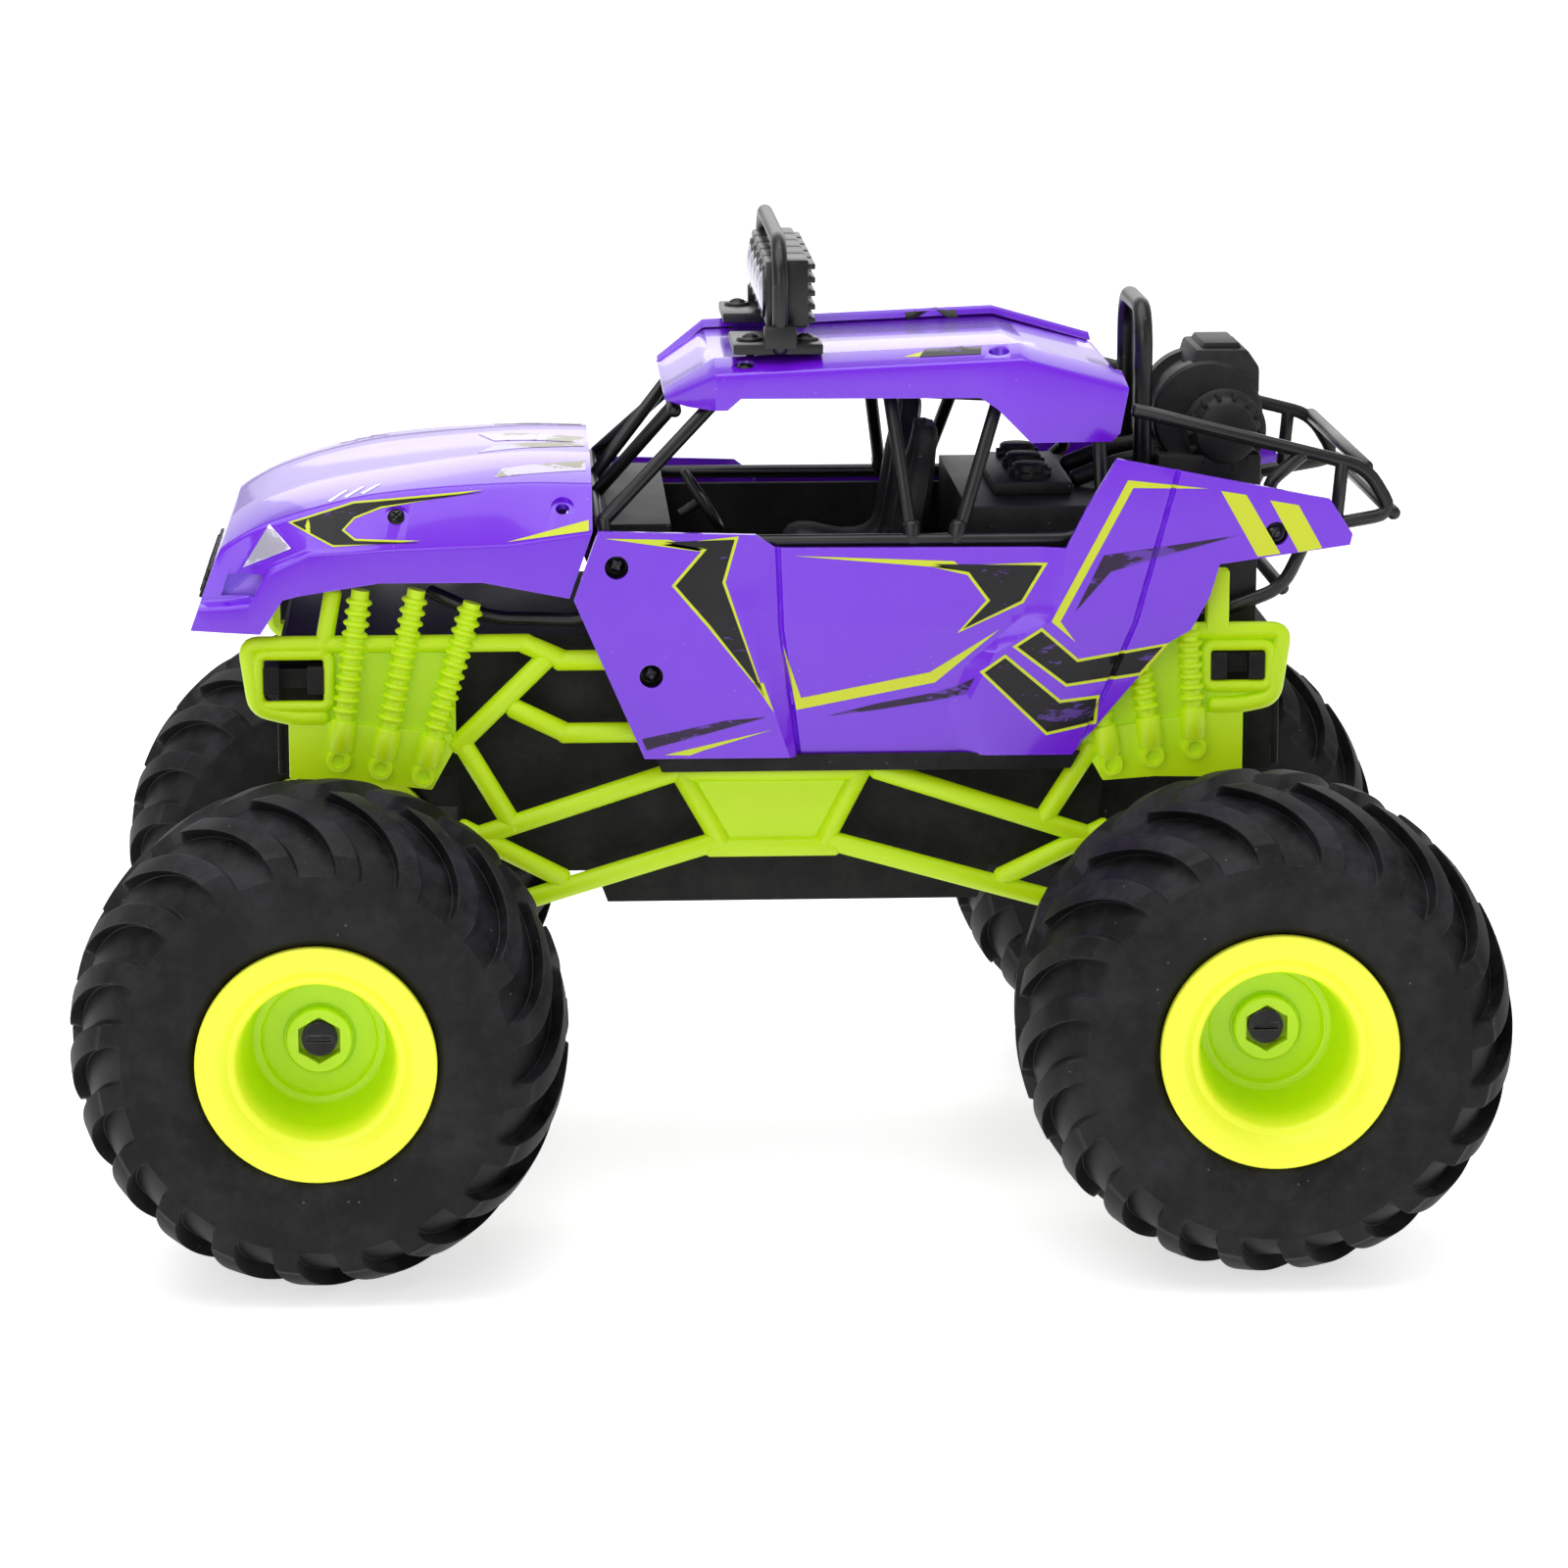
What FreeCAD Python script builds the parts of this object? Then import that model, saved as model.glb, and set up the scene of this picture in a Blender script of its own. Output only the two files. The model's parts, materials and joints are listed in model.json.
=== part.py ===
import FreeCAD, Part
import math
import os

# Radio-controlled monster truck, millimetres.
# +X is the truck's left, -Y its front, +Z up.  The origin is on the ground, midway
# between the axles and midway between the left and right wheels.

V = FreeCAD.Vector
X_AXIS = V(1, 0, 0)
Y_AXIS = V(0, 1, 0)
Z_AXIS = V(0, 0, 1)
ORIGIN = V(0, 0, 0)

# ---------------------------------------------------------------- driving dimensions
WHEELBASE = 225.0
TYRE_RADIUS = 59.0
TYRE_WIDTH = 67.0
TRACK_HALF = 103.0          # wheel mid-plane from the truck's centre
AXLE_Z = TYRE_RADIUS
FRONT_Y = -WHEELBASE / 2
REAR_Y = WHEELBASE / 2

FLAT_SIDEWALL_RADIUS = 45.0
CROWN_POWER = 2.2           # roundness of the tyre's shoulder
FLANGE_RADIUS = 28.1
BEAD_RADIUS = 25.0
HUB_BACK = TRACK_HALF - 5.0
HUB_FACE = TRACK_HALF + 9.9
HUB_POCKET_DEPTH = 4.0
HUB_HEX_CORNER = 5.2
AXLE_RADIUS = 2.5
RUNNING_GAP = 0.05

WALL = 2.2                  # moulded body shell
TUB_HALF = 46.0             # black chassis tub
TUB_TOP = 141.0
TUB_STEP = 108.0            # underside over the axles
BELLY_Z = 76.0
DECK_TOP = 143.5
FRAME_IN = 52.0             # green side frames
FRAME_OUT = 57.0
PANEL_HALF = 62.3           # outer face of the doors
ROOF_HALF = 50.0
CAGE_TUBE = 1.7
RACK_TUBE = 1.5
RACK_HALF = 46.0
SCREW_SHANK = 1.2

KINGPIN_X = 80.0
KINGPIN_RADIUS = 1.5
STEER_ARM = 13.0            # kingpin to steering pin, and the servo arm's length
TIE_Y = FRONT_Y + STEER_ARM
SERVO_Y = TIE_Y + STEER_ARM

FINAL_TEETH = 36
SMALL_TEETH = 12
FINAL_MODULE = 0.8
BIG_TEETH = 42
PINION_TEETH = 12
FIRST_MODULE = 0.6
LAY_ANGLE = 118.0           # from the axle up to the lay shaft, degrees from +Y
MOTOR_ANGLE = 120.0         # from the lay shaft up to the motor shaft
LAY_RADIUS = 1.5
BUSH_RADIUS = 4.5
HOUSING_HALF = 66.0         # end of the rear axle's tube
MOTOR_SHAFT = 1.0
MOTOR_CAN = 12.7

BAY_X = 24.0                # battery bay
BAY_FRONT = -38.0
BAY_REAR = 32.0
COVER_HALF = BAY_X - 0.4    # battery cover and its hinge
HINGE_Y = -36.5
HINGE_Z = BELLY_Z + 1.2
HINGE_PIN = 0.6


# ---------------------------------------------------------------- small helpers
def box(x0, x1, y0, y1, z0, z1):
    return Part.makeBox(x1 - x0, y1 - y0, z1 - z0, V(x0, y0, z0))


def rod(start, end, radius):
    a = V(*start)
    b = V(*end)
    return Part.makeCylinder(radius, (b - a).Length, a, b - a)


def ring(start, end, outer, inner):
    return rod(start, end, outer).cut(rod(start, end, inner))


def face(points):
    loop = [V(*p) for p in points]
    return Part.Face(Part.makePolygon(loop + [loop[0]]))


def slab_x(yz, x0, x1):
    return face([(x0, y, z) for y, z in yz]).extrude(V(x1 - x0, 0, 0))


def slab_y(xz, y0, y1):
    return face([(x, y0, z) for x, z in xz]).extrude(V(0, y1 - y0, 0))


def slab_z(xy, z0, z1):
    return face([(x, y, z0) for x, y in xy]).extrude(V(0, 0, z1 - z0))


def spin_x(profile, y, z):
    """Turn an (x, radius) outline about the line through (y, z) along X."""
    outline = face([(x, y, z + r) for x, r in profile])
    return outline.revolve(V(0, y, z), X_AXIS, 360)


def mirror(shape):
    return shape.mirror(ORIGIN, X_AXIS)


def fuse(shapes):
    joined = shapes[0]
    if len(shapes) > 1:
        joined = shapes[0].multiFuse(shapes[1:])
    return joined.removeSplitter()


def both_sides(shape):
    return [shape, mirror(shape)]


def tube(points, radius):
    """Round tube along straight runs, with a ball a little larger at each bend."""
    pieces = [rod(a, b, radius) for a, b in zip(points, points[1:])]
    pieces += [Part.makeSphere(radius * 1.03, V(*p)) for p in points[1:-1]]
    return pieces


def section_loft(stations):
    """Ruled solid through closed (x, z) outlines given as {y: outline}."""
    wires = []
    for y, outline in sorted(stations.items()):
        loop = [V(x, y, z) for x, z in outline]
        wires.append(Part.makePolygon(loop + [loop[0]]))
    return Part.makeLoft(wires, True, True)


def symmetric(half):
    """Close a half outline, listed from the lower outer edge to the centre line."""
    return half + [(-x, z) for x, z in reversed(half) if x > 0]


def hex_prism(x0, x1, y, z, corner):
    points = []
    for k in range(6):
        a = math.radians(60 * k + 30)
        points.append((y + corner * math.cos(a), z + corner * math.sin(a)))
    return slab_x(points, x0, x1)


def screw(at, direction, head=2.4, depth=1.4, length=5.0):
    """Pan-head screw whose head's top is at the point, with a cross slot."""
    d = V(*direction)
    top = V(*at)
    body = Part.makeCylinder(head, depth, top, d)
    shank = Part.makeCylinder(SCREW_SHANK, length, top, d)
    drive = Part.makeBox(0.6, 2.8, 1.4, V(-0.3, -1.4, -0.7))
    drive = drive.fuse(Part.makeBox(2.8, 0.6, 1.4, V(-1.4, -0.3, -0.7)))
    turn = FreeCAD.Rotation(Z_AXIS, d)
    drive.Placement = FreeCAD.Placement(top, turn)
    return fuse([body, shank]).cut(drive)


def export(node, shapes):
    solids = []
    for shape in shapes if isinstance(shapes, list) else [shapes]:
        solids += shape.Solids
    target = solids[0] if len(solids) == 1 else Part.makeCompound(solids)
    target.exportStep("parts/" + node + ".step")
    volume = sum(s.Volume for s in solids)
    print(node, len(solids), "solid(s)", round(volume), "mm3", all(s.isValid() for s in solids))


# ---------------------------------------------------------------- gears
def gear(teeth, module, x0, x1, y, z, turn, bore):
    """Involute spur gear about an X line; turn is a tooth's direction in degrees."""
    pressure = math.radians(20)
    pitch_r = teeth * module / 2
    base_r = pitch_r * math.cos(pressure)
    tip_r = pitch_r + 0.9 * module
    root_r = pitch_r - 1.2 * module
    backlash = 0.12 * module
    half_pitch = math.pi / (2 * teeth) - backlash / pitch_r
    pitch_roll = math.tan(pressure) - pressure

    def flank(r):
        if r <= base_r:
            return half_pitch + pitch_roll
        roll = math.acos(base_r / r)
        return half_pitch + pitch_roll - (math.tan(roll) - roll)

    start = max(base_r, root_r)
    radii = [start + (tip_r - start) * k / 4 for k in range(5)]
    points = []
    for k in range(teeth):
        centre = math.radians(turn) + 2 * math.pi * k / teeth
        edge = [(root_r, flank(start))] if root_r < base_r else []
        edge += [(r, flank(r)) for r in radii]
        side = [(r, centre - a) for r, a in edge] + [(r, centre + a) for r, a in reversed(edge)]
        points += [(y + r * math.cos(a), z + r * math.sin(a)) for r, a in side]
    blank = slab_x(points, x0, x1)
    return blank.cut(rod((x0 - 1, y, z), (x1 + 1, y, z), bore))


def step_from(y, z, distance, degrees):
    a = math.radians(degrees)
    return y + distance * math.cos(a), z + distance * math.sin(a)


FINAL_GAP = (FINAL_TEETH + SMALL_TEETH) * FINAL_MODULE / 2
FIRST_GAP = (BIG_TEETH + PINION_TEETH) * FIRST_MODULE / 2
LAY_Y, LAY_Z = step_from(REAR_Y, AXLE_Z, FINAL_GAP, LAY_ANGLE)
MOTOR_Y, MOTOR_Z = step_from(LAY_Y, LAY_Z, FIRST_GAP, MOTOR_ANGLE)


def make_gears():
    half_tooth = 180 / SMALL_TEETH
    final = gear(FINAL_TEETH, FINAL_MODULE, -3, 3, REAR_Y, AXLE_Z, LAY_ANGLE, AXLE_RADIUS)
    small = gear(SMALL_TEETH, FINAL_MODULE, -4.5, 3.5, LAY_Y, LAY_Z,
                 LAY_ANGLE + 180 + half_tooth, LAY_RADIUS + RUNNING_GAP)
    big = gear(BIG_TEETH, FIRST_MODULE, -9, -4.5, LAY_Y, LAY_Z,
               MOTOR_ANGLE, LAY_RADIUS + RUNNING_GAP)
    pinion = gear(PINION_TEETH, FIRST_MODULE, -9.2, -4.3, MOTOR_Y, MOTOR_Z,
                  MOTOR_ANGLE + 180 + 180 / PINION_TEETH, MOTOR_SHAFT)
    export("final_gear", final)
    export("reduction_gear", fuse([small, big]))
    export("motor_pinion", pinion)
    export("motor_shaft", rod((-16, MOTOR_Y, MOTOR_Z), (-4.2, MOTOR_Y, MOTOR_Z), MOTOR_SHAFT))
    export("gear_shaft", rod((-12.5, LAY_Y, LAY_Z), (7, LAY_Y, LAY_Z), LAY_RADIUS))


# ---------------------------------------------------------------- wheels
def crown(half_width, radius, foot, steps=8):
    """Rounded shoulder from the sidewall to the middle of the tread."""
    points = []
    for k in range(steps + 1):
        t = math.pi / 2 * k / steps
        x = half_width * math.cos(t) ** (2 / CROWN_POWER)
        r = foot + (radius - foot) * math.sin(t) ** (2 / CROWN_POWER)
        points.append((x, r))
    return points


def tyre(y):
    half = TYRE_WIDTH / 2
    outer = [(29.4, BEAD_RADIUS + 0.05), (30.3, 28.3), (half - 1.2, 28.6), (half - 0.4, 36)]
    outer += crown(half, TYRE_RADIUS, FLAT_SIDEWALL_RADIUS)
    inner = [(21.5, BEAD_RADIUS + 0.05), (21.5, 28), (29.6, 31)]
    inner += crown(half - 3.4, TYRE_RADIUS - 3.5, FLAT_SIDEWALL_RADIUS - 2)
    right = [(TRACK_HALF + x, r) for x, r in outer]
    left = [(TRACK_HALF - x, r) for x, r in reversed(outer[:-1])]
    cavity_left = [(TRACK_HALF - x, r) for x, r in inner]
    cavity_right = [(TRACK_HALF + x, r) for x, r in reversed(inner[:-1])]
    return spin_x(right + left + cavity_left + cavity_right, y, AXLE_Z)


def rim(y, bore):
    face_x = TRACK_HALF + 33.3
    back_x = TRACK_HALF - 33.3
    pocket_x = HUB_FACE - HUB_POCKET_DEPTH
    profile = [
        (face_x, 22.3), (face_x, FLANGE_RADIUS), (face_x - 2.5, FLANGE_RADIUS),
        (face_x - 3.5, BEAD_RADIUS), (face_x - 11, BEAD_RADIUS), (face_x - 12, 21),
        (TRACK_HALF + 7.5, 21), (TRACK_HALF + 6.5, BEAD_RADIUS),
        (back_x + 3.5, BEAD_RADIUS), (back_x + 2.5, FLANGE_RADIUS), (back_x, FLANGE_RADIUS),
        (back_x, 22.8), (TRACK_HALF + 3.5, 22.8), (TRACK_HALF + 3.5, 8.5),
        (HUB_BACK, 8.5), (HUB_BACK, bore), (HUB_FACE, bore), (HUB_FACE, 7.9),
        (TRACK_HALF + 7, 7.9), (TRACK_HALF + 7, 15.3), (TRACK_HALF + 10, 15.6),
        (face_x - 2.8, 18.4), (face_x - 1.3, 22.3),
    ]
    blank = spin_x(profile, y, AXLE_Z)
    return blank.cut(hex_prism(pocket_x, HUB_FACE + 1, y, AXLE_Z, HUB_HEX_CORNER))


def axle_end(y, gap):
    """Slotted head that keeps a wheel on its shaft."""
    seat = HUB_FACE - HUB_POCKET_DEPTH + gap
    head = rod((seat, y, AXLE_Z), (seat + 2.2, y, AXLE_Z), 4.2)
    return head, box(seat + 1.2, seat + 3, y - 3, y + 3, AXLE_Z - 0.7, AXLE_Z + 0.7)


def make_wheels():
    for end, y, bore in (("front", FRONT_Y, AXLE_RADIUS + RUNNING_GAP), ("rear", REAR_Y, AXLE_RADIUS)):
        for side, shapes in (("left", [tyre(y), rim(y, bore)]),
                             ("right", [mirror(tyre(y)), mirror(rim(y, bore))])):
            export("tyre_" + end + "_" + side, shapes[0])
            export("rim_" + end + "_" + side, shapes[1])


def make_rear_axle():
    reach = HUB_FACE - HUB_POCKET_DEPTH
    shaft = rod((-reach, REAR_Y, AXLE_Z), (reach, REAR_Y, AXLE_Z), AXLE_RADIUS)
    head, slot = axle_end(REAR_Y, 0)
    shank = rod((reach - 6, REAR_Y, AXLE_Z), (reach + 1, REAR_Y, AXLE_Z), SCREW_SHANK)
    bolt = fuse([head, shank]).cut(slot)
    for end in both_sides(rod((reach - 6, REAR_Y, AXLE_Z), (reach, REAR_Y, AXLE_Z), SCREW_SHANK)):
        shaft = shaft.cut(end)
    export("rear_axle_shaft", shaft)
    export("rear_wheel_screws", both_sides(bolt))
    bush = ring((HOUSING_HALF - 5, REAR_Y, AXLE_Z), (HOUSING_HALF, REAR_Y, AXLE_Z),
                BUSH_RADIUS, AXLE_RADIUS + RUNNING_GAP)
    export("rear_axle_bushes", both_sides(bush))


def make_knuckles():
    barrel = rod((KINGPIN_X, FRONT_Y, AXLE_Z - 8), (KINGPIN_X, FRONT_Y, AXLE_Z + 8), 5)
    spindle = rod((KINGPIN_X, FRONT_Y, AXLE_Z), (HUB_BACK - 0.4, FRONT_Y, AXLE_Z), 5.5)
    arm = box(KINGPIN_X - 2.5, KINGPIN_X + 2.5, FRONT_Y + 2, TIE_Y + 2.5, AXLE_Z - 8, AXLE_Z - 5)
    pin = rod((KINGPIN_X, TIE_Y, AXLE_Z - 6), (KINGPIN_X, TIE_Y, AXLE_Z + 1.5), KINGPIN_RADIUS)
    bore = rod((KINGPIN_X, FRONT_Y, AXLE_Z - 9), (KINGPIN_X, FRONT_Y, AXLE_Z + 9),
               KINGPIN_RADIUS + RUNNING_GAP)
    stub_root = KINGPIN_X + 4
    seat = rod((stub_root, FRONT_Y, AXLE_Z), (HUB_BACK, FRONT_Y, AXLE_Z), AXLE_RADIUS)
    knuckle = fuse([barrel, spindle, arm, pin]).cut(bore).cut(seat)
    head, slot = axle_end(FRONT_Y, 0.3)
    stub = rod((stub_root, FRONT_Y, AXLE_Z), (HUB_FACE - 3, FRONT_Y, AXLE_Z), AXLE_RADIUS)
    stub = fuse([stub, head]).cut(slot)
    export("knuckle_left", knuckle)
    export("knuckle_right", mirror(knuckle))
    export("stub_axle_left", stub)
    export("stub_axle_right", mirror(stub))
    pin_low = AXLE_Z - 11
    pin_high = AXLE_Z + 11
    kingpin = rod((KINGPIN_X, FRONT_Y, pin_low), (KINGPIN_X, FRONT_Y, pin_high), KINGPIN_RADIUS)
    cap = rod((KINGPIN_X, FRONT_Y, pin_high), (KINGPIN_X, FRONT_Y, pin_high + 1.2), 2.8)
    export("kingpins", both_sides(fuse([kingpin, cap])))


def make_steering():
    low = AXLE_Z - 4.5
    high = AXLE_Z - 0.5
    bar = box(-KINGPIN_X, KINGPIN_X, TIE_Y - 2.5, TIE_Y + 2.5, low, high)
    for x in (-KINGPIN_X, 0, KINGPIN_X):
        bar = fuse([bar, rod((x, TIE_Y, low), (x, TIE_Y, high), 3.6)])
    for x in (-KINGPIN_X, 0, KINGPIN_X):
        half = KINGPIN_RADIUS + 0.35
        slot = box(x - half, x + half, TIE_Y - half - 0.7, TIE_Y + half + 0.7, low - 1, high + 1)
        bar = bar.cut(slot)
    export("tie_rod", bar)
    arm_low = AXLE_Z - 9
    arm_high = AXLE_Z - 5.5
    hub = rod((0, SERVO_Y, arm_low), (0, SERVO_Y, arm_high), 4)
    lever = box(-2.5, 2.5, TIE_Y - 2.5, SERVO_Y, arm_low, arm_high)
    pin = rod((0, TIE_Y, arm_low), (0, TIE_Y, AXLE_Z + 1), KINGPIN_RADIUS)
    shaft = rod((0, SERVO_Y, arm_low), (0, SERVO_Y, AXLE_Z + 6.6), 2)
    export("servo_arm", fuse([hub, lever, pin, shaft]))
    case = box(-10, 10, SERVO_Y - 8.5, SERVO_Y + 6, AXLE_Z + 3, AXLE_Z + 25.5)
    socket = rod((0, SERVO_Y, AXLE_Z + 2), (0, SERVO_Y, AXLE_Z + 7), 2 + RUNNING_GAP)
    export("steering_servo", case.cut(socket))


def make_front_beam():
    y = FRONT_Y
    z = AXLE_Z
    parts = [box(-62, 62, y - 6, y + 5.5, z - 6, z + 6)]
    parts.append(box(-18, 18, y - 8, y + 6, z + 5, TUB_STEP - 3))
    parts.append(box(-26, 26, y - 8, y + 22, TUB_STEP - 3.5, TUB_STEP))
    parts.append(box(-12, 12, y + 5, SERVO_Y + 6, z + 25.5, z + 29))
    for s in (-1, 1):
        xs = sorted((s * 60, s * 68))
        tips = sorted((s * 66, s * KINGPIN_X))
        parts.append(box(xs[0], xs[1], y - 6, y + 5.5, z - 11, z + 11))
        for z0 in (z - 11, z + 8.4):
            ear = box(tips[0], tips[1], y - 5, y + 5, z0, z0 + 2.6)
            eye = rod((s * KINGPIN_X, y, z0), (s * KINGPIN_X, y, z0 + 2.6), 5)
            parts += [ear, eye]
    beam = fuse(parts)
    for s in (-1, 1):
        beam = beam.cut(rod((s * KINGPIN_X, y, z - 12), (s * KINGPIN_X, y, z + 12), KINGPIN_RADIUS))
    for hole in flange_screws(FRONT_Y + 7, -1):
        beam = beam.cut(hole)
    export("front_axle_beam", beam)


def flange_screws(y_mid, cut=0):
    """Four screws up through an axle unit's flange; cut=-1 gives their clearance."""
    solids = []
    for x in (-22, 22):
        for y in (y_mid - 8, y_mid + 8):
            head_z = TUB_STEP - 3.5
            if cut:
                solids.append(rod((x, y, head_z - 1), (x, y, TUB_STEP + 3), SCREW_SHANK))
            else:
                solids.append(screw((x, y, head_z - 1.4), (0, 0, 1), 2.4, 1.4, 6.4))
    return solids


GEAR_CASE = [(97, 41), (128, 41), (132, 48), (132, 68), (121, 92), (117, 104.6),
             (83, 104.6), (80.6, 98), (80.6, 84), (92, 62), (92, 46)]


def make_rear_gearbox():
    outline = Part.makePolygon([V(-10.5, y, z) for y, z in GEAR_CASE + GEAR_CASE[:1]])
    hollow = Part.Face(outline.makeOffset2D(-2.4, 2)).extrude(V(15.5, 0, 0))
    case = slab_x(GEAR_CASE, -12.5, 7).cut(hollow)
    flange = box(-27, 27, 81, 121, TUB_STEP - 3.5, TUB_STEP)
    arms = [rod((-HOUSING_HALF, REAR_Y, AXLE_Z), (-11.5, REAR_Y, AXLE_Z), 7)]
    arms.append(rod((6, REAR_Y, AXLE_Z), (HOUSING_HALF, REAR_Y, AXLE_Z), 7))
    case = fuse([case, flange] + arms)
    case = case.cut(rod((-HOUSING_HALF - 1, REAR_Y, AXLE_Z), (HOUSING_HALF + 1, REAR_Y, AXLE_Z), BUSH_RADIUS))
    case = case.cut(rod((-13, LAY_Y, LAY_Z), (8, LAY_Y, LAY_Z), LAY_RADIUS))
    case = case.cut(rod((-13, MOTOR_Y, MOTOR_Z), (-10, MOTOR_Y, MOTOR_Z), 3))
    for hole in flange_screws(101, -1):
        case = case.cut(hole)
    export("rear_gearbox_case", case)
    can = rod((-50, MOTOR_Y, MOTOR_Z), (-12.5, MOTOR_Y, MOTOR_Z), MOTOR_CAN)
    nose = rod((-17, MOTOR_Y, MOTOR_Z), (-12, MOTOR_Y, MOTOR_Z), MOTOR_SHAFT + RUNNING_GAP)
    export("drive_motor", can.cut(nose))


# ---------------------------------------------------------------- chassis
TUB_SIDE = [(-122, TUB_STEP), (-122, TUB_TOP), (122, TUB_TOP), (122, TUB_STEP), (80, TUB_STEP),
            (78, 84), (52, 84), (49, BELLY_Z), (-43, BELLY_Z), (-46, 84), (-78, 84), (-80, TUB_STEP)]
TUB_HOLLOW = [(-119.5, TUB_STEP + 2.5), (-119.5, TUB_TOP + 1), (119.5, TUB_TOP + 1),
              (119.5, TUB_STEP + 2.5), (77.5, TUB_STEP + 2.5), (75.5, 86.5), (50, 86.5),
              (47, BELLY_Z + 2.5), (-41, BELLY_Z + 2.5), (-44, 86.5), (-75.5, 86.5),
              (-77.5, TUB_STEP + 2.5)]
SWITCH_X = 34.0


def make_tub():
    tub = slab_x(TUB_SIDE, -TUB_HALF, TUB_HALF)
    tub = tub.cut(slab_x(TUB_HOLLOW, 2.5 - TUB_HALF, TUB_HALF - 2.5))
    bay_top = 102.0
    bay = box(-BAY_X - 2, BAY_X + 2, BAY_FRONT - 2, BAY_REAR + 2, BELLY_Z + 1, bay_top)
    bay = bay.cut(box(-BAY_X, BAY_X, BAY_FRONT, BAY_REAR, BELLY_Z, bay_top + 1))
    boss = box(-4, 4, BAY_REAR - 8.6, BAY_REAR + 0.5, BELLY_Z + 3, BELLY_Z + 12)
    tub = tub.cut(box(-BAY_X, BAY_X, BAY_FRONT, BAY_REAR, BELLY_Z - 1, BELLY_Z + 4))
    tub = fuse([tub, bay, boss])
    tub = tub.cut(rod((0, BAY_REAR - 5, BELLY_Z), (0, BAY_REAR - 5, BELLY_Z + 13), 2.1))
    socket_half = BAY_X + 1.4
    tub = tub.cut(rod((-socket_half, HINGE_Y, HINGE_Z), (socket_half, HINGE_Y, HINGE_Z), HINGE_PIN + 0.15))
    tub = tub.cut(box(SWITCH_X - 2.2, SWITCH_X + 2.2, -6, 6, BELLY_Z - 1, BELLY_Z + 4))
    for hole in flange_screws(FRONT_Y + 7, -1) + flange_screws(101, -1):
        tub = tub.cut(hole)
    export("chassis_tub", tub)
    export("chassis_screws", flange_screws(FRONT_Y + 7) + flange_screws(101))
    deck = box(-TUB_HALF, TUB_HALF, -122, 122, TUB_TOP, DECK_TOP)
    export("chassis_deck", deck)


def make_electrics():
    pack = box(-21, 21, BAY_FRONT + 2, BAY_REAR - 10, BELLY_Z + 4, BELLY_Z + 24)
    export("battery_pack", pack)
    board = box(-25, 25, BAY_FRONT - 1, BAY_REAR + 1, 102, 103.6)
    chips = [box(-16, -4, -20, -8, 103.6, 106), box(4, 12, -24, -16, 103.6, 108.6)]
    chips += [rod((x, 12, 103.6), (x, 12, 112), 4) for x in (-12, 0, 12)]
    export("circuit_board", fuse([board] + chips))
    plate = box(-COVER_HALF, COVER_HALF, HINGE_Y, BAY_REAR - 0.4, BELLY_Z + 0.2, BELLY_Z + 2.2)
    barrel = rod((-COVER_HALF, HINGE_Y, HINGE_Z), (COVER_HALF, HINGE_Y, HINGE_Z), 1.0)
    pins = rod((-BAY_X - 1.1, HINGE_Y, HINGE_Z), (BAY_X + 1.1, HINGE_Y, HINGE_Z), HINGE_PIN)
    cover = fuse([plate, barrel, pins])
    screw_y = BAY_REAR - 5
    cover = cover.cut(rod((0, screw_y, BELLY_Z), (0, screw_y, BELLY_Z + 1.4), 2.6))
    cover = cover.cut(rod((0, screw_y, BELLY_Z), (0, screw_y, BELLY_Z + 3), SCREW_SHANK))
    export("battery_cover", cover)
    bolt = screw((0, screw_y, BELLY_Z + 0.3), (0, 0, 1), 2.5, 1.1, 7.5)
    export("battery_cover_screw", bolt)
    body = box(SWITCH_X - 6, SWITCH_X + 6, -9, 9, BELLY_Z + 2.5, BELLY_Z + 9.5)
    body = body.cut(box(SWITCH_X - 2.2, SWITCH_X + 2.2, -6, 6, BELLY_Z + 2, BELLY_Z + 4.5))
    export("power_switch_body", body)
    knob = box(SWITCH_X - 1.8, SWITCH_X + 1.8, -5.6, -0.6, BELLY_Z + 0.3, BELLY_Z + 4.2)
    export("power_switch_knob", knob)


# ---------------------------------------------------------------- green side frames
FRAME_PLATE_FRONT = [(-132.6, 145.2), (-130.2, 128.4), (-128, 125.6), (-120.7, 124), (-120.7, 110),
                     (-107, 109.6), (-86, 106.9), (-80.4, 117), (-61, 138), (-61, 145.2)]
FRAME_PLATE_REAR = [(125.2, 146.6), (122.5, 128), (120, 125.6), (113.5, 125), (113.5, 108),
                    (92, 108.4), (79, 107.5), (73, 118), (73, 138), (76, 146.6)]
FRAME_BARS = [
    ((-63, 143), (-54, 139)), ((-55, 138.7), (78, 138.7)), ((-58, 139), (-80, 117.5)),
    ((-66, 127), (-53, 120.6)), ((-54, 120.6), (-26, 120.6)), ((-78, 117.5), (-66, 97)),
    ((-28, 140), (-28, 110)), ((40, 140), (40, 110)),
    ((-79, 93.6), (-26, 110.8)), ((-79, 97), (-54, 84)), ((-64, 78.6), (-17, 92.8)),
    ((-25.5, 111), (-15, 92.5)), ((-18, 91.6), (13, 91.6)), ((19.5, 111), (10, 92.5)),
    ((12, 92.8), (66, 77.6)), ((54, 83), (80, 95.5)), ((23, 110.8), (80, 92)),
    ((64, 97), (76, 116)), ((-28, 111.5), (78, 111.5)),
]
BAR_HALF = 2.5
SHOCKS_FRONT = [(-102.6, 157, -108.6, 115), (-89, 157, -98.4, 113), (-75.6, 153.6, -88, 111)]
SHOCKS_REAR = [(99.5, 147, 101.3, 116), (87, 142, 91, 114), (77, 130, 80.8, 112)]


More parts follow.
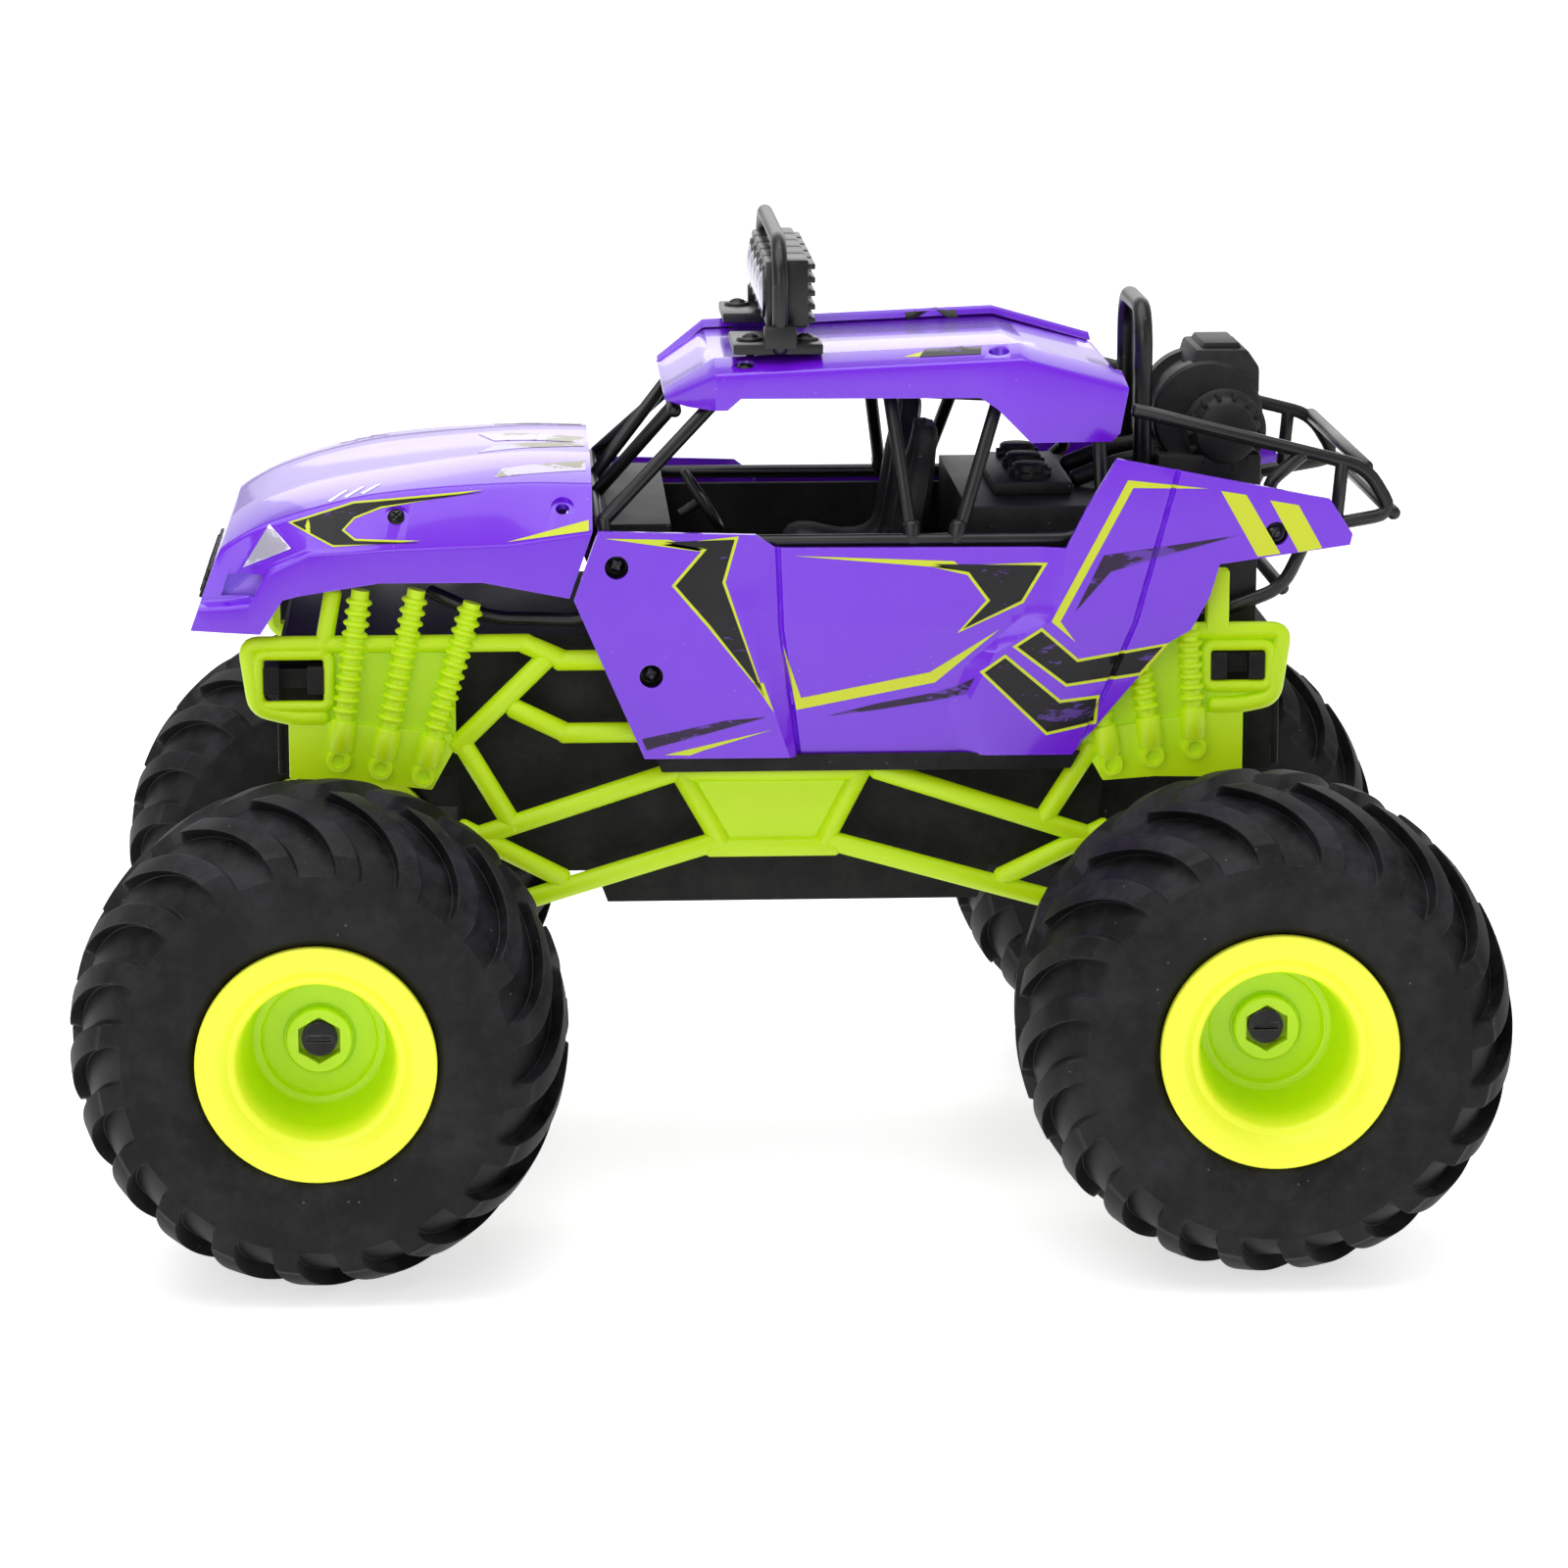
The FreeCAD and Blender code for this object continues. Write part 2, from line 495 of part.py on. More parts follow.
def bar_plate(start, end):
    (y0, z0), (y1, z1) = start, end
    run = math.hypot(y1 - y0, z1 - z0)
    ny = -(z1 - z0) / run * BAR_HALF
    nz = (y1 - y0) / run * BAR_HALF
    points = [(y0 + ny, z0 + nz), (y1 + ny, z1 + nz), (y1 - ny, z1 - nz), (y0 - ny, z0 - nz)]
    return slab_x(points, FRAME_IN, FRAME_OUT)


def moulded_shock(top_y, top_z, ring_y, ring_z):
    """Dummy shock absorber moulded on the frame: ribbed body, collar and eye."""
    x = FRAME_OUT - 1
    length = math.hypot(top_y - ring_y, top_z - ring_z)
    uy = (top_y - ring_y) / length
    uz = (top_z - ring_z) / length

    def at(s):
        return (x, ring_y + uy * s, ring_z + uz * s)

    parts = [rod(at(3), at(length), 2.3), rod(at(3), at(10), 2.9)]
    ribs = int((length - 13) / 2.6)
    parts += [rod(at(12 + 2.6 * k), at(13.4 + 2.6 * k), 3.1) for k in range(ribs)]
    parts.append(rod((FRAME_OUT - 1, ring_y, ring_z), (FRAME_OUT + 1.8, ring_y, ring_z), 2.9))
    return parts


def make_side_frames():
    parts = [slab_x(FRAME_PLATE_FRONT, FRAME_IN, FRAME_OUT), slab_x(FRAME_PLATE_REAR, FRAME_IN, FRAME_OUT)]
    parts += [bar_plate(a, b) for a, b in FRAME_BARS]
    parts.append(slab_x([(-27, 110), (21, 110), (10, 92), (-15, 92)], FRAME_IN, FRAME_OUT - 2))
    parts.append(slab_x([(-114.6, 143), (-111.5, 157), (-107, 157), (-110, 143)], FRAME_IN, FRAME_OUT))
    parts.append(slab_x([(104, 144), (104, 160), (109.5, 160), (109.5, 144)], FRAME_IN, FRAME_OUT))
    for shock in SHOCKS_FRONT + SHOCKS_REAR:
        parts += moulded_shock(*shock)
    for y, z in ((-100, 128), (100, 128), (0, 111.5), (-66, 98), (66, 92)):
        parts.append(rod((TUB_HALF, y, z), (FRAME_IN + 1, y, z), 3))
    frame = fuse(parts)
    windows = [box(FRAME_IN - 1, FRAME_OUT + 1, -127, -111.6, 128.9, 140)]
    windows.append(box(FRAME_IN - 1, FRAME_OUT + 1, 105, 119, 131.8, 140.2))
    windows.append(slab_x([(-80, 122), (-64, 139.5), (-80, 139.5)], FRAME_IN - 1, FRAME_OUT + 1))
    for window in windows:
        frame = frame.cut(window)
    export("side_frame_left", frame)
    export("side_frame_right", mirror(frame))
    hooks = []
    for y0, y1, z in ((-126.7, -111.9, 134.4), (105.3, 118.7, 136)):
        bar = box(TUB_HALF + 0.2, FRAME_OUT - 1, y0, y0 + 4, z - 3.4, z + 3.4)
        other = box(TUB_HALF + 0.2, FRAME_OUT - 1, y1 - 4, y1, z - 3.4, z + 3.4)
        link = box(TUB_HALF + 0.2, FRAME_IN, y0, y1, z - 2.4, z + 2.4)
        hooks += both_sides(fuse([bar, other, link]))
    export("tow_hooks", hooks)


# ---------------------------------------------------------------- purple body shell
HOOD_OUTLINE = [(-143.9, 147.4), (-127, 146.6), (-121.4, 155), (-117.5, 156), (-98, 159.1),
                (-73, 159.1), (-52, 155), (-46.3, 171.4), (-46.3, 195), (-128, 195), (-135.5, 168.9),
                (-138.1, 163.2)]
HOOD_CORE = [(-141.3, 140), (-135.4, 163), (-133, 168), (-126, 195), (-40, 195), (-40, 140)]
HOOD_STATIONS = {
    -146: [(57, 140), (57, 152), (50, 158), (26, 160), (0, 160)],
    -135: [(58, 140), (58, 158.5), (50.5, 167.5), (26, 170), (0, 169.3)],
    -120: [(59, 140), (59, 163.4), (51.5, 174), (26, 176.5), (0, 175.4)],
    -98: [(60, 140), (60, 166.6), (52, 180), (26, 181.8), (0, 180.8)],
    -66: [(60.5, 140), (60.5, 167.7), (52, 182), (26, 185), (0, 184.4)],
    -40: [(60.5, 140), (60.5, 170.6), (52, 181.6), (26, 184.8), (0, 184)],
}
LENS_SHAPE = [(-131.5, 161.5), (-120.5, 167), (-124.5, 172.2)]


def shrink(half, thickness):
    """The inside of a shell: each point moves in and down by the wall."""
    return [(max(x - thickness, 0), z - (thickness if i else 0)) for i, (x, z) in enumerate(half)]


def make_hood():
    outer = section_loft({y: symmetric(h) for y, h in HOOD_STATIONS.items()})
    inner = section_loft({y: symmetric(shrink(h, WALL)) for y, h in HOOD_STATIONS.items()})
    outer = outer.common(slab_x(HOOD_OUTLINE, -70, 70))
    inner = inner.common(slab_x(HOOD_CORE, -70, 70))
    hood = outer.cut(inner)
    lens_block = slab_x(LENS_SHAPE, 44, 70)
    lenses = []
    for side, block in (("left", lens_block), ("right", mirror(lens_block))):
        lenses.append(("headlight_lens_" + side, hood.common(block)))
        hood = hood.cut(block)
    for y in (-93.7, -53.5):
        for hole in both_sides(rod((50, y, 171), (62, y, 182), 1.6)):
            hood = hood.cut(hole)
    export("hood_shell", hood)
    for name, lens in lenses:
        export(name, lens)


PANEL_OUTLINE = [
    (-45, 171.7), (-6.9, 170.6), (-1.8, 167), (68.6, 166.6), (73.5, 176.4), (80.8, 188.4),
    (132.9, 178.2), (138.6, 169.6), (138, 166.9), (106.2, 162.4), (103.9, 154.4), (99.4, 146.2),
    (93.6, 142.8), (73.9, 118.8), (70.8, 115), (-34, 115.2), (-51, 154.8),
]
PANEL_TUCK = 1.3            # the doors lean in towards their lower edge
PANEL_SECTION = [(PANEL_HALF - PANEL_TUCK, 112), (PANEL_HALF, 146), (PANEL_HALF, 171),
                 (PANEL_HALF - 1.5, 190)]
PANEL_HOLES = [(-40.6, 162.8), (-32.3, 135.8), (119.9, 169.8)]


def make_side_panels():
    inner = [(x - WALL, z) for x, z in reversed(PANEL_SECTION)]
    bent = slab_y(PANEL_SECTION + inner, -60, 145)
    panel = bent.common(slab_x(PANEL_OUTLINE, 40, 70))
    for y, z in PANEL_HOLES:
        panel = panel.cut(rod((50, y, z), (70, y, z), 2.9))
    export("side_panel_left", panel)
    export("side_panel_right", mirror(panel))


ROOF_STATIONS = {
    -28: [(36, 190), (36, 200.6), (30, 202.4), (28.6, 200.8), (0, 200.8)],
    -16: [(49.4, 188), (ROOF_HALF, 207.8), (38, 210.8), (36.6, 208.3), (0, 208.3)],
    59: [(49.4, 186), (ROOF_HALF, 211.2), (38, 214), (36.6, 211.2), (0, 211.2)],
    86: [(47.4, 186), (48, 203.4), (38, 206.4), (36.6, 204), (0, 204)],
}
ROOF_OUTLINE = [(-28, 200), (-22.5, 199.1), (-13.1, 199.1), (-9.8, 202), (48.6, 201.8), (52.8, 199),
                (61.1, 190.6), (81, 190.6), (83.1, 192.6), (85.1, 203.6), (82, 216), (-28, 216)]


def make_roof():
    outer = section_loft({y: symmetric(h) for y, h in ROOF_STATIONS.items()})
    inner = section_loft({y: symmetric(shrink(h, WALL)) for y, h in ROOF_STATIONS.items()})
    roof = outer.cut(inner).common(slab_x(ROOF_OUTLINE, -60, 60))
    for y in (-8.6, 53.5):
        for hole in both_sides(rod((44, y, 200), (44, y, 216), 1.6)):
            roof = roof.cut(hole)
    export("roof_panel", roof)


# ---------------------------------------------------------------- black cage and cabin
def make_cage():
    left = tube([(56, -43.5, 173.5), (39.5, -13, 203), (44, 10, 204), (42.5, 78, 200.5)], CAGE_TUBE)
    left += tube([(56.5, -43, 168), (56.5, 73, 168), (45, 79, 176)], CAGE_TUBE)
    left += [rod((56, 31.5, 168), (44.2, 26.5, 203.5), CAGE_TUBE)]
    left += [rod((56, 42.5, 168), (44.2, 54, 202.8), CAGE_TUBE)]
    left += [rod((56, -43.5, 173.5), (56.5, -43, 168), CAGE_TUBE)]
    left += [rod((45, 79, 176), (42.5, 78, 200.5), CAGE_TUBE)]
    left += tube([(56.5, -43, 168), (50, -46, 148), (49.5, -71.5, 148.5), (48, -86, 155)], CAGE_TUBE)
    cage = fuse(left)
    export("cage_left", cage)
    export("cage_right", mirror(cage))
    bars = [rod((-53.6, -45.3, 173), (53.6, -45.3, 173), CAGE_TUBE)]
    for s in (-1, 1):
        bars.append(rod((s * 14, -45.3, 173), (s * 24, -25.5, 197), CAGE_TUBE))
    bars.append(rod((-34, -25.5, 197), (34, -25.5, 197), CAGE_TUBE))
    export("windshield_bars", fuse(bars))


def make_rack():
    rails = []
    for s in (-1, 1):
        x = s * RACK_HALF
        rails += tube([(x, 87, 198), (x, 144.3, 183.5), (x, 151.3, 172), (x, 131, 168.5)], RACK_TUBE)
        rails += tube([(x, 129, 187.4), (x, 118.5, 178.5), (x, 131, 168.5)], RACK_TUBE)
        rails += tube([(x, 131, 168.5), (x, 124, 153.5), (x, 104.4, 146.5)], RACK_TUBE)
        rails.append(rod((x, 138.3, 185), (x, 137, 170), RACK_TUBE))
    for y, z in ((144.3, 183.5), (151.3, 172), (124, 153.5)):
        rails.append(rod((-RACK_HALF, y, z), (RACK_HALF, y, z), RACK_TUBE))
    export("rear_rack", fuse(rails))
    hoop = tube([(-19, 92, 176.2), (-19, 92, 214), (-14, 92, 219.5), (14, 92, 219.5),
                 (19, 92, 214), (19, 92, 176.2)], CAGE_TUBE)
    export("rear_hoop", fuse(hoop))


def make_light_bar():
    outline = [(44, 212), (44, 237), (40.5, 240.5), (-40.5, 240.5), (-44, 237), (-44, 212),
               (-40, 212), (-40, 235.5), (-38.5, 237), (38.5, 237), (40, 235.5), (40, 212)]
    frame = slab_y(outline, -2, 2)
    feet = [box(18, 44, -11.5, 10.5, 212, 215.2), box(-44, -18, -11.5, 10.5, 212, 215.2)]
    ends = [box(39, 41, -1.5, 5, 222, 230), box(-41, -39, -1.5, 5, 222, 230)]
    frame = fuse([frame] + feet + ends)
    for x in (-36, 36):
        for y in (-7, 6.5):
            frame = frame.cut(rod((x, y, 211), (x, y, 216), SCREW_SHANK))
    export("light_bar_frame", frame)
    housing = box(-38.8, 38.8, -0.5, 7.5, 217, 235)
    housing = housing.cut(box(-37.3, 37.3, -1, 2, 218.5, 233.5))
    export("light_bar_housing", housing)
    lens = box(-37.2, 37.2, -4, 1.9, 218.6, 233.4)
    for k in range(4):
        x = -22.4 + k * 14.9
        lens = lens.cut(box(x - 0.6, x + 0.6, -5, -2.5, 218, 234))
    export("light_bar_lens", lens)


def make_cabin():
    tub = box(-51.5, 51.5, -42.5, 78, DECK_TOP, 166)
    tub = tub.cut(box(-49.5, 49.5, -40.5, 76, DECK_TOP + 2, 167))
    dash = box(-50, 50, -42.5, -27, 150, 171.5).cut(box(-48, 48, -40.5, -29, 149, 169.5))
    rear = box(-43, 43, 46, 118, DECK_TOP, 174).cut(box(-41, 41, 48, 116, DECK_TOP - 1, 172))
    export("cabin_tub", fuse([tub.cut(box(-41, 41, 48, 79, DECK_TOP - 1, 167)), dash, rear]))
    profile = [(6, DECK_TOP + 2), (5, 155), (20, 157), (27, 180), (33, 193), (40, 193), (37, 176),
               (31, DECK_TOP + 2)]
    for side, x0 in (("left", 12), ("right", -40)):
        seat = slab_x(profile, x0, x0 + 28)
        scoop = slab_x([(0, 160), (17, 161), (24, 182), (20, 200), (0, 200)], x0 + 5, x0 + 23)
        export("seat_" + side, seat.cut(scoop))
    hub = V(26, -18.5, 173.5)
    tilt = V(0, 0.84, 0.54)
    rim_ring = Part.makeTorus(9, 1.4, hub, tilt)
    column = Part.makeCylinder(1.6, 11, hub, V(0, -0.84, -0.54))
    column = column.cut(box(10, 40, -42, -26.9, 150, 171.6))
    cross = Part.makeCylinder(1.2, 18, hub - V(9, 0, 0), X_AXIS)
    export("steering_wheel", fuse([rim_ring, column, cross]))


def make_engine():
    parts = [box(-20, 20, 96, 122, 174, 183)]
    parts.append(rod((-17, 109, 192), (17, 109, 192), 14))
    parts.append(box(-9, 9, 106, 121, 196, 208.6))
    parts.append(rod((17, 112, 189), (22, 114, 188), 7.5))
    parts.append(rod((-22, 114, 188), (-17, 112, 189), 7.5))
    parts.append(box(-26, 26, 54, 74, 174, 178))
    parts.append(box(-6, 6, 70, 98, 174, 179))
    for x in (-16, 0, 16):
        parts.append(rod((x, 64, 177), (x, 64, 182.5), 5))
    export("engine_moulding", fuse(parts))


def make_body_screws():
    screws = []
    for y, z in PANEL_HOLES:
        screws += both_sides(screw((PANEL_HALF - 1.3, y, z), (-1, 0, 0), 2.5, 1.2, 1.4))
    for x in (-36, 36):
        for y in (-7, 6.5):
            screws.append(screw((x, y, 216.4), (0, 0, -1), 2.2, 1.2, 3.4))
    export("body_screws", screws)


os.makedirs("parts", exist_ok=True)
make_gears()
make_wheels()
make_rear_axle()
make_knuckles()
make_steering()
make_front_beam()
make_rear_gearbox()
make_tub()
make_electrics()
make_side_frames()
make_hood()
make_side_panels()
make_roof()
make_cage()
make_rack()
make_light_bar()
make_cabin()
make_engine()
make_body_screws()
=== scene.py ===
# %% [markdown]
# # A toy monster truck, one piece at a time
# The truck's joints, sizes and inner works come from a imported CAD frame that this
# script never moves. Around that frame we build what the eye sees: rubber, glossy
# shell, printed stickers, satin frame and black tubes. Every length is typed in
# millimetres, because toys are drawn in millimetres, and turned into metres once.

# %% Load the frame
import bpy
import bmesh
import json
import math
import random
from mathutils import Matrix, Vector
from mathutils.geometry import tessellate_polygon

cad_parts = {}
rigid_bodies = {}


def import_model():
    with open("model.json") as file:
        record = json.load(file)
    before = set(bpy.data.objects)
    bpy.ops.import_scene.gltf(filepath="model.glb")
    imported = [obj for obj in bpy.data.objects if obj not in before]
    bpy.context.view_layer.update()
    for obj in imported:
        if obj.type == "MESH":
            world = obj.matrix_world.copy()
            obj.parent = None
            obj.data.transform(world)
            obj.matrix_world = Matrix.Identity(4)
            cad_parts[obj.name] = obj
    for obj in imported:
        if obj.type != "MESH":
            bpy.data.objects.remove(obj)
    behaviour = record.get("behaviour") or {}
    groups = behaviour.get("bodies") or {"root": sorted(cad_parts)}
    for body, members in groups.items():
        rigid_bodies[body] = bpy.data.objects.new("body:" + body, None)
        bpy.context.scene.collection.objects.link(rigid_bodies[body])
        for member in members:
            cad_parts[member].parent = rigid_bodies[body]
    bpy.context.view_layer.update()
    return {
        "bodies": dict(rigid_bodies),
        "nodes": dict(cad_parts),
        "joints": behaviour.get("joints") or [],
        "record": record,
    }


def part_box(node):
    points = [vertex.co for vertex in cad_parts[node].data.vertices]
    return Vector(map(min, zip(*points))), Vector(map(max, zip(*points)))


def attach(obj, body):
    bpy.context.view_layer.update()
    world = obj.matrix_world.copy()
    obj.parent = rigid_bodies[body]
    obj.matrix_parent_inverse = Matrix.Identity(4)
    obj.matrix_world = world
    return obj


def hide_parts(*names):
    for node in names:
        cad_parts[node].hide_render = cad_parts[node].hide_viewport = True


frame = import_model()
MM = 0.001
BOTH_SIDES = (("left", 1), ("right", -1))

# %% [markdown]
# ## Floor, light and camera
# A product table is a pale sheet under large soft lamps. One wide lamp overhead
# gives the nearly white sheen on the bonnet and roof, a second beside the camera
# fills the doors, and dimmer ones behind separate the black tubes from the wall.
# The last lamp stands far back and low, to keep the far floor as bright as the near
# one. The sheet itself glows a little, which thins the shadows, and a pale world does
# the rest.

# %% Floor
FLOOR_HALF, FLOOR_GLOW = 9.0, 0.64
floor_mesh = bpy.data.meshes.new("floor")
corners = [(-FLOOR_HALF, -FLOOR_HALF, 0), (FLOOR_HALF, -FLOOR_HALF, 0),
           (FLOOR_HALF, FLOOR_HALF, 0), (-FLOOR_HALF, FLOOR_HALF, 0)]
floor_mesh.from_pydata(corners, [], [(0, 1, 2, 3)])
floor = bpy.data.objects.new("floor", floor_mesh)
bpy.context.scene.collection.objects.link(floor)
floor_paint = bpy.data.materials.new("floor_paper")
floor_paint.use_nodes = True
paper = floor_paint.node_tree.nodes["Principled BSDF"]
paper.inputs["Base Color"].default_value = (0.8, 0.8, 0.81, 1)
paper.inputs["Roughness"].default_value = 0.45
paper.inputs["Emission Color"].default_value = (1, 1, 1, 1)
paper.inputs["Emission Strength"].default_value = FLOOR_GLOW
floor_mesh.materials.append(floor_paint)
print("floor side in metres:", 2 * FLOOR_HALF)

# %% Lamps and sky
def soft_lamp(name, place, aim, width, depth, power):
    """One rectangular lamp at place, turned towards aim (metres, watts)."""
    lamp = bpy.data.lights.new(name, "AREA")
    lamp.shape = "RECTANGLE"
    lamp.size = width
    lamp.size_y = depth
    lamp.energy = power
    holder = bpy.data.objects.new(name, lamp)
    holder.location = place
    holder.rotation_mode = "QUATERNION"
    holder.rotation_quaternion = (Vector(aim) - Vector(place)).to_track_quat("-Z", "Y")
    holder.visible_camera = False
    bpy.context.scene.collection.objects.link(holder)


LAMPS = {"lamp_above": ((0.1, -0.25, 1.5), (0, 0, 0.1), 1.5, 1.8, 17),
         "lamp_by_camera": ((1.7, -0.7, 0.9), (0, 0, 0.12), 1.2, 1.0, 7),
         "lamp_rear_side": ((1.1, 1.5, 0.7), (0, 0, 0.12), 0.9, 0.9, 2),
         "lamp_behind": ((-1.6, 0.2, 0.9), (0, 0, 0.15), 1.4, 1.0, 4),
         "lamp_low_behind": ((-5.4, 0.2, 1.35), (0, 0, 0.2), 6.2, 1.9, 22)}
for lamp_name, numbers in LAMPS.items():
    soft_lamp(lamp_name, *numbers)
# The room's wall looks white to the camera, but lights the truck with far less.
SKY_AS_LIGHT, SKY_AS_SEEN = 0.38, 1.05
sky = bpy.data.worlds.new("pale_room")
sky.use_nodes = True
sky_light = sky.node_tree.nodes["Background"]
sky_light.inputs["Color"].default_value = (1, 1, 1, 1)
seen = sky.node_tree.nodes.new("ShaderNodeLightPath")
level = sky.node_tree.nodes.new("ShaderNodeMapRange")
level.inputs["To Min"].default_value = SKY_AS_LIGHT
level.inputs["To Max"].default_value = SKY_AS_SEEN
sky.node_tree.links.new(seen.outputs["Is Camera Ray"], level.inputs["Value"])
sky.node_tree.links.new(level.outputs["Result"], sky_light.inputs["Strength"])
bpy.context.scene.world = sky
bpy.context.scene.view_settings.view_transform = "Standard"
print("lamps:", len(LAMPS), "with", sum(numbers[-1] for numbers in LAMPS.values()), "watts")

# %% Camera
CAMERA_PLACE = Vector((1.3256, -0.06575, 0.3798))
CAMERA_AHEAD = Vector((-0.9765, 0.0508, -0.2094))
LENS_MM, SENSOR_MM = 121.5, 36
camera = bpy.data.cameras.new("camera")
camera.lens = LENS_MM
camera.sensor_width = SENSOR_MM
camera_holder = bpy.data.objects.new("camera", camera)
camera_holder.location = CAMERA_PLACE
camera_holder.rotation_mode = "QUATERNION"
camera_holder.rotation_quaternion = CAMERA_AHEAD.to_track_quat("-Z", "Y")
bpy.context.scene.collection.objects.link(camera_holder)
bpy.context.scene.camera = camera_holder
print("camera", [round(v, 3) for v in CAMERA_PLACE], "lens", camera.lens)

# %% [markdown]
# ## Shader helpers
# Toy plastics differ in colour and gloss, but share small flaws: a moulded grain,
# slow changes of tone, dust on faces that look up and pale rubbed edges. The pale
# edges are partly a painted highlight, and the tyres' dust is partly a painted sheen.
# Each flaw is one node group with named inputs, so that a material only turns its knobs.
# `add` makes a node and wires it in one line, because long link lists hide the idea.

# %% Node helpers
def add(tree, kind, values=None, **settings):
    """Make a shader node, set its attributes, and fill or link its inputs by name."""
    made = tree.nodes.new("ShaderNode" + kind)
    for key, value in settings.items():
        setattr(made, key, value)
    for key, value in (values or {}).items():
        if isinstance(value, bpy.types.NodeSocket):
            tree.links.new(value, made.inputs[key])
        else:
            made.inputs[key].default_value = value
    return made


# A Mix node numbers its colour sockets apart from its number sockets.
COLOUR_A, COLOUR_B, COLOUR_OUT = 6, 7, 2


def blend(tree, share, first, second):
    """Mix two colours by share, and give back the colour's socket."""
    values = {"Factor": share, COLOUR_A: first, COLOUR_B: second}
    return add(tree, "Mix", values, data_type="RGBA").outputs[COLOUR_OUT]


def new_group(name, inputs, outputs):
    """An empty node group with named sockets, and its input and output nodes."""
    group = bpy.data.node_groups.new(name, "ShaderNodeTree")
    for label, kind, start in inputs:
        socket = group.interface.new_socket(name=label, in_out="INPUT", socket_type=kind)
        socket.default_value = start
    for label, kind in outputs:
        group.interface.new_socket(name=label, in_out="OUTPUT", socket_type=kind)
    return group, group.nodes.new("NodeGroupInput"), group.nodes.new("NodeGroupOutput")


def place_group(tree, group, values):
    """Put a node group into a material with its own input values."""
    return add(tree, "Group", values, node_tree=group)


def rgba(red, green, blue):
    """A colour written 0..255 as a screen shows it, as Blender's linear numbers."""
    def linear(v):
        v = v / 255
        return v / 12.92 if v <= 0.04045 else ((v + 0.055) / 1.055) ** 2.4
    return (linear(red), linear(green), linear(blue), 1)


FLOAT, COLOUR = "NodeSocketFloat", "NodeSocketColor"
print("a middle grey in linear numbers:", [round(v, 3) for v in rgba(128, 128, 128)])

# %% Group: moulded grain
# Steel moulds are spark-eroded, so plastic carries a fine pebble texture, and the
# gloss wanders where the melt cooled unevenly.
grain_group, grain_in, grain_out = new_group(
    "Moulded grain",
    [("Size per metre", FLOAT, 1500.0), ("Roughness", FLOAT, 0.4), ("Gloss change", FLOAT, 0.1)],
    [("Height", FLOAT), ("Roughness", FLOAT)])
where = add(grain_group, "TexCoord")
pebbles = add(grain_group, "TexNoise", {
    "Vector": where.outputs["Object"], "Scale": grain_in.outputs["Size per metre"],
    "Detail": 3.0, "Roughness": 0.6})
drift = add(grain_group, "TexNoise", {
    "Vector": where.outputs["Object"], "Scale": 38.0, "Detail": 4.0, "Roughness": 0.6})
centred = add(grain_group, "Math", {0: drift.outputs["Fac"], 1: 0.5}, operation="SUBTRACT")
change = add(grain_group, "Math", {
    0: centred.outputs[0], 1: grain_in.outputs["Gloss change"],
    2: grain_in.outputs["Roughness"]}, operation="MULTIPLY_ADD")
grain_group.links.new(pebbles.outputs["Fac"], grain_out.inputs["Height"])
grain_group.links.new(change.outputs[0], grain_out.inputs["Roughness"])
print(grain_group.name, "has", len(grain_group.nodes), "nodes")

# %% Group: tone drift
# Coloured pellets never mix perfectly: the tone changes slowly over a panel.
tone_group, tone_in, tone_out = new_group(
    "Tone drift",
    [("Colour", COLOUR, (0.5, 0.5, 0.5, 1)), ("Amount", FLOAT, 0.06)],
    [("Colour", COLOUR)])
where = add(tone_group, "TexCoord")
clouds = add(tone_group, "TexNoise", {
    "Vector": where.outputs["Object"], "Scale": 16.0, "Detail": 5.0, "Roughness": 0.65})
low = add(tone_group, "Math", {0: 1.0, 1: tone_in.outputs["Amount"]}, operation="SUBTRACT")
high = add(tone_group, "Math", {0: 1.0, 1: tone_in.outputs["Amount"]}, operation="ADD")
lift = add(tone_group, "MapRange", {
    "Value": clouds.outputs["Fac"], "From Min": 0.3, "From Max": 0.7,
    "To Min": low.outputs[0], "To Max": high.outputs[0]})
toned = add(tone_group, "VectorMath", {
    0: tone_in.outputs["Colour"], "Scale": lift.outputs["Result"]}, operation="SCALE")
tone_group.links.new(toned.outputs[0], tone_out.inputs["Colour"])
print(tone_group.name, "has", len(tone_group.nodes), "nodes")

# %% Group: settled dust and painted sheen
# Dust lies on faces that look up, in soft patches with a few bright specks. Set pale
# and strong, as on the tyres, the same mask is also a painted sheen on lug tops that face up.
dust_and_sheen_group, dust_and_sheen_in, dust_and_sheen_out = new_group(
    "Dust and painted sheen",
    [("Colour", COLOUR, (0.5, 0.5, 0.5, 1)), ("Dust and sheen colour", COLOUR, (0.55, 0.53, 0.5, 1)),
     ("Amount", FLOAT, 0.1), ("Specks", FLOAT, 0.3)],
    [("Colour", COLOUR), ("Mask", FLOAT)])
where = add(dust_and_sheen_group, "TexCoord")
shape = add(dust_and_sheen_group, "NewGeometry")
facing = add(dust_and_sheen_group, "SeparateXYZ", {"Vector": shape.outputs["Normal"]})
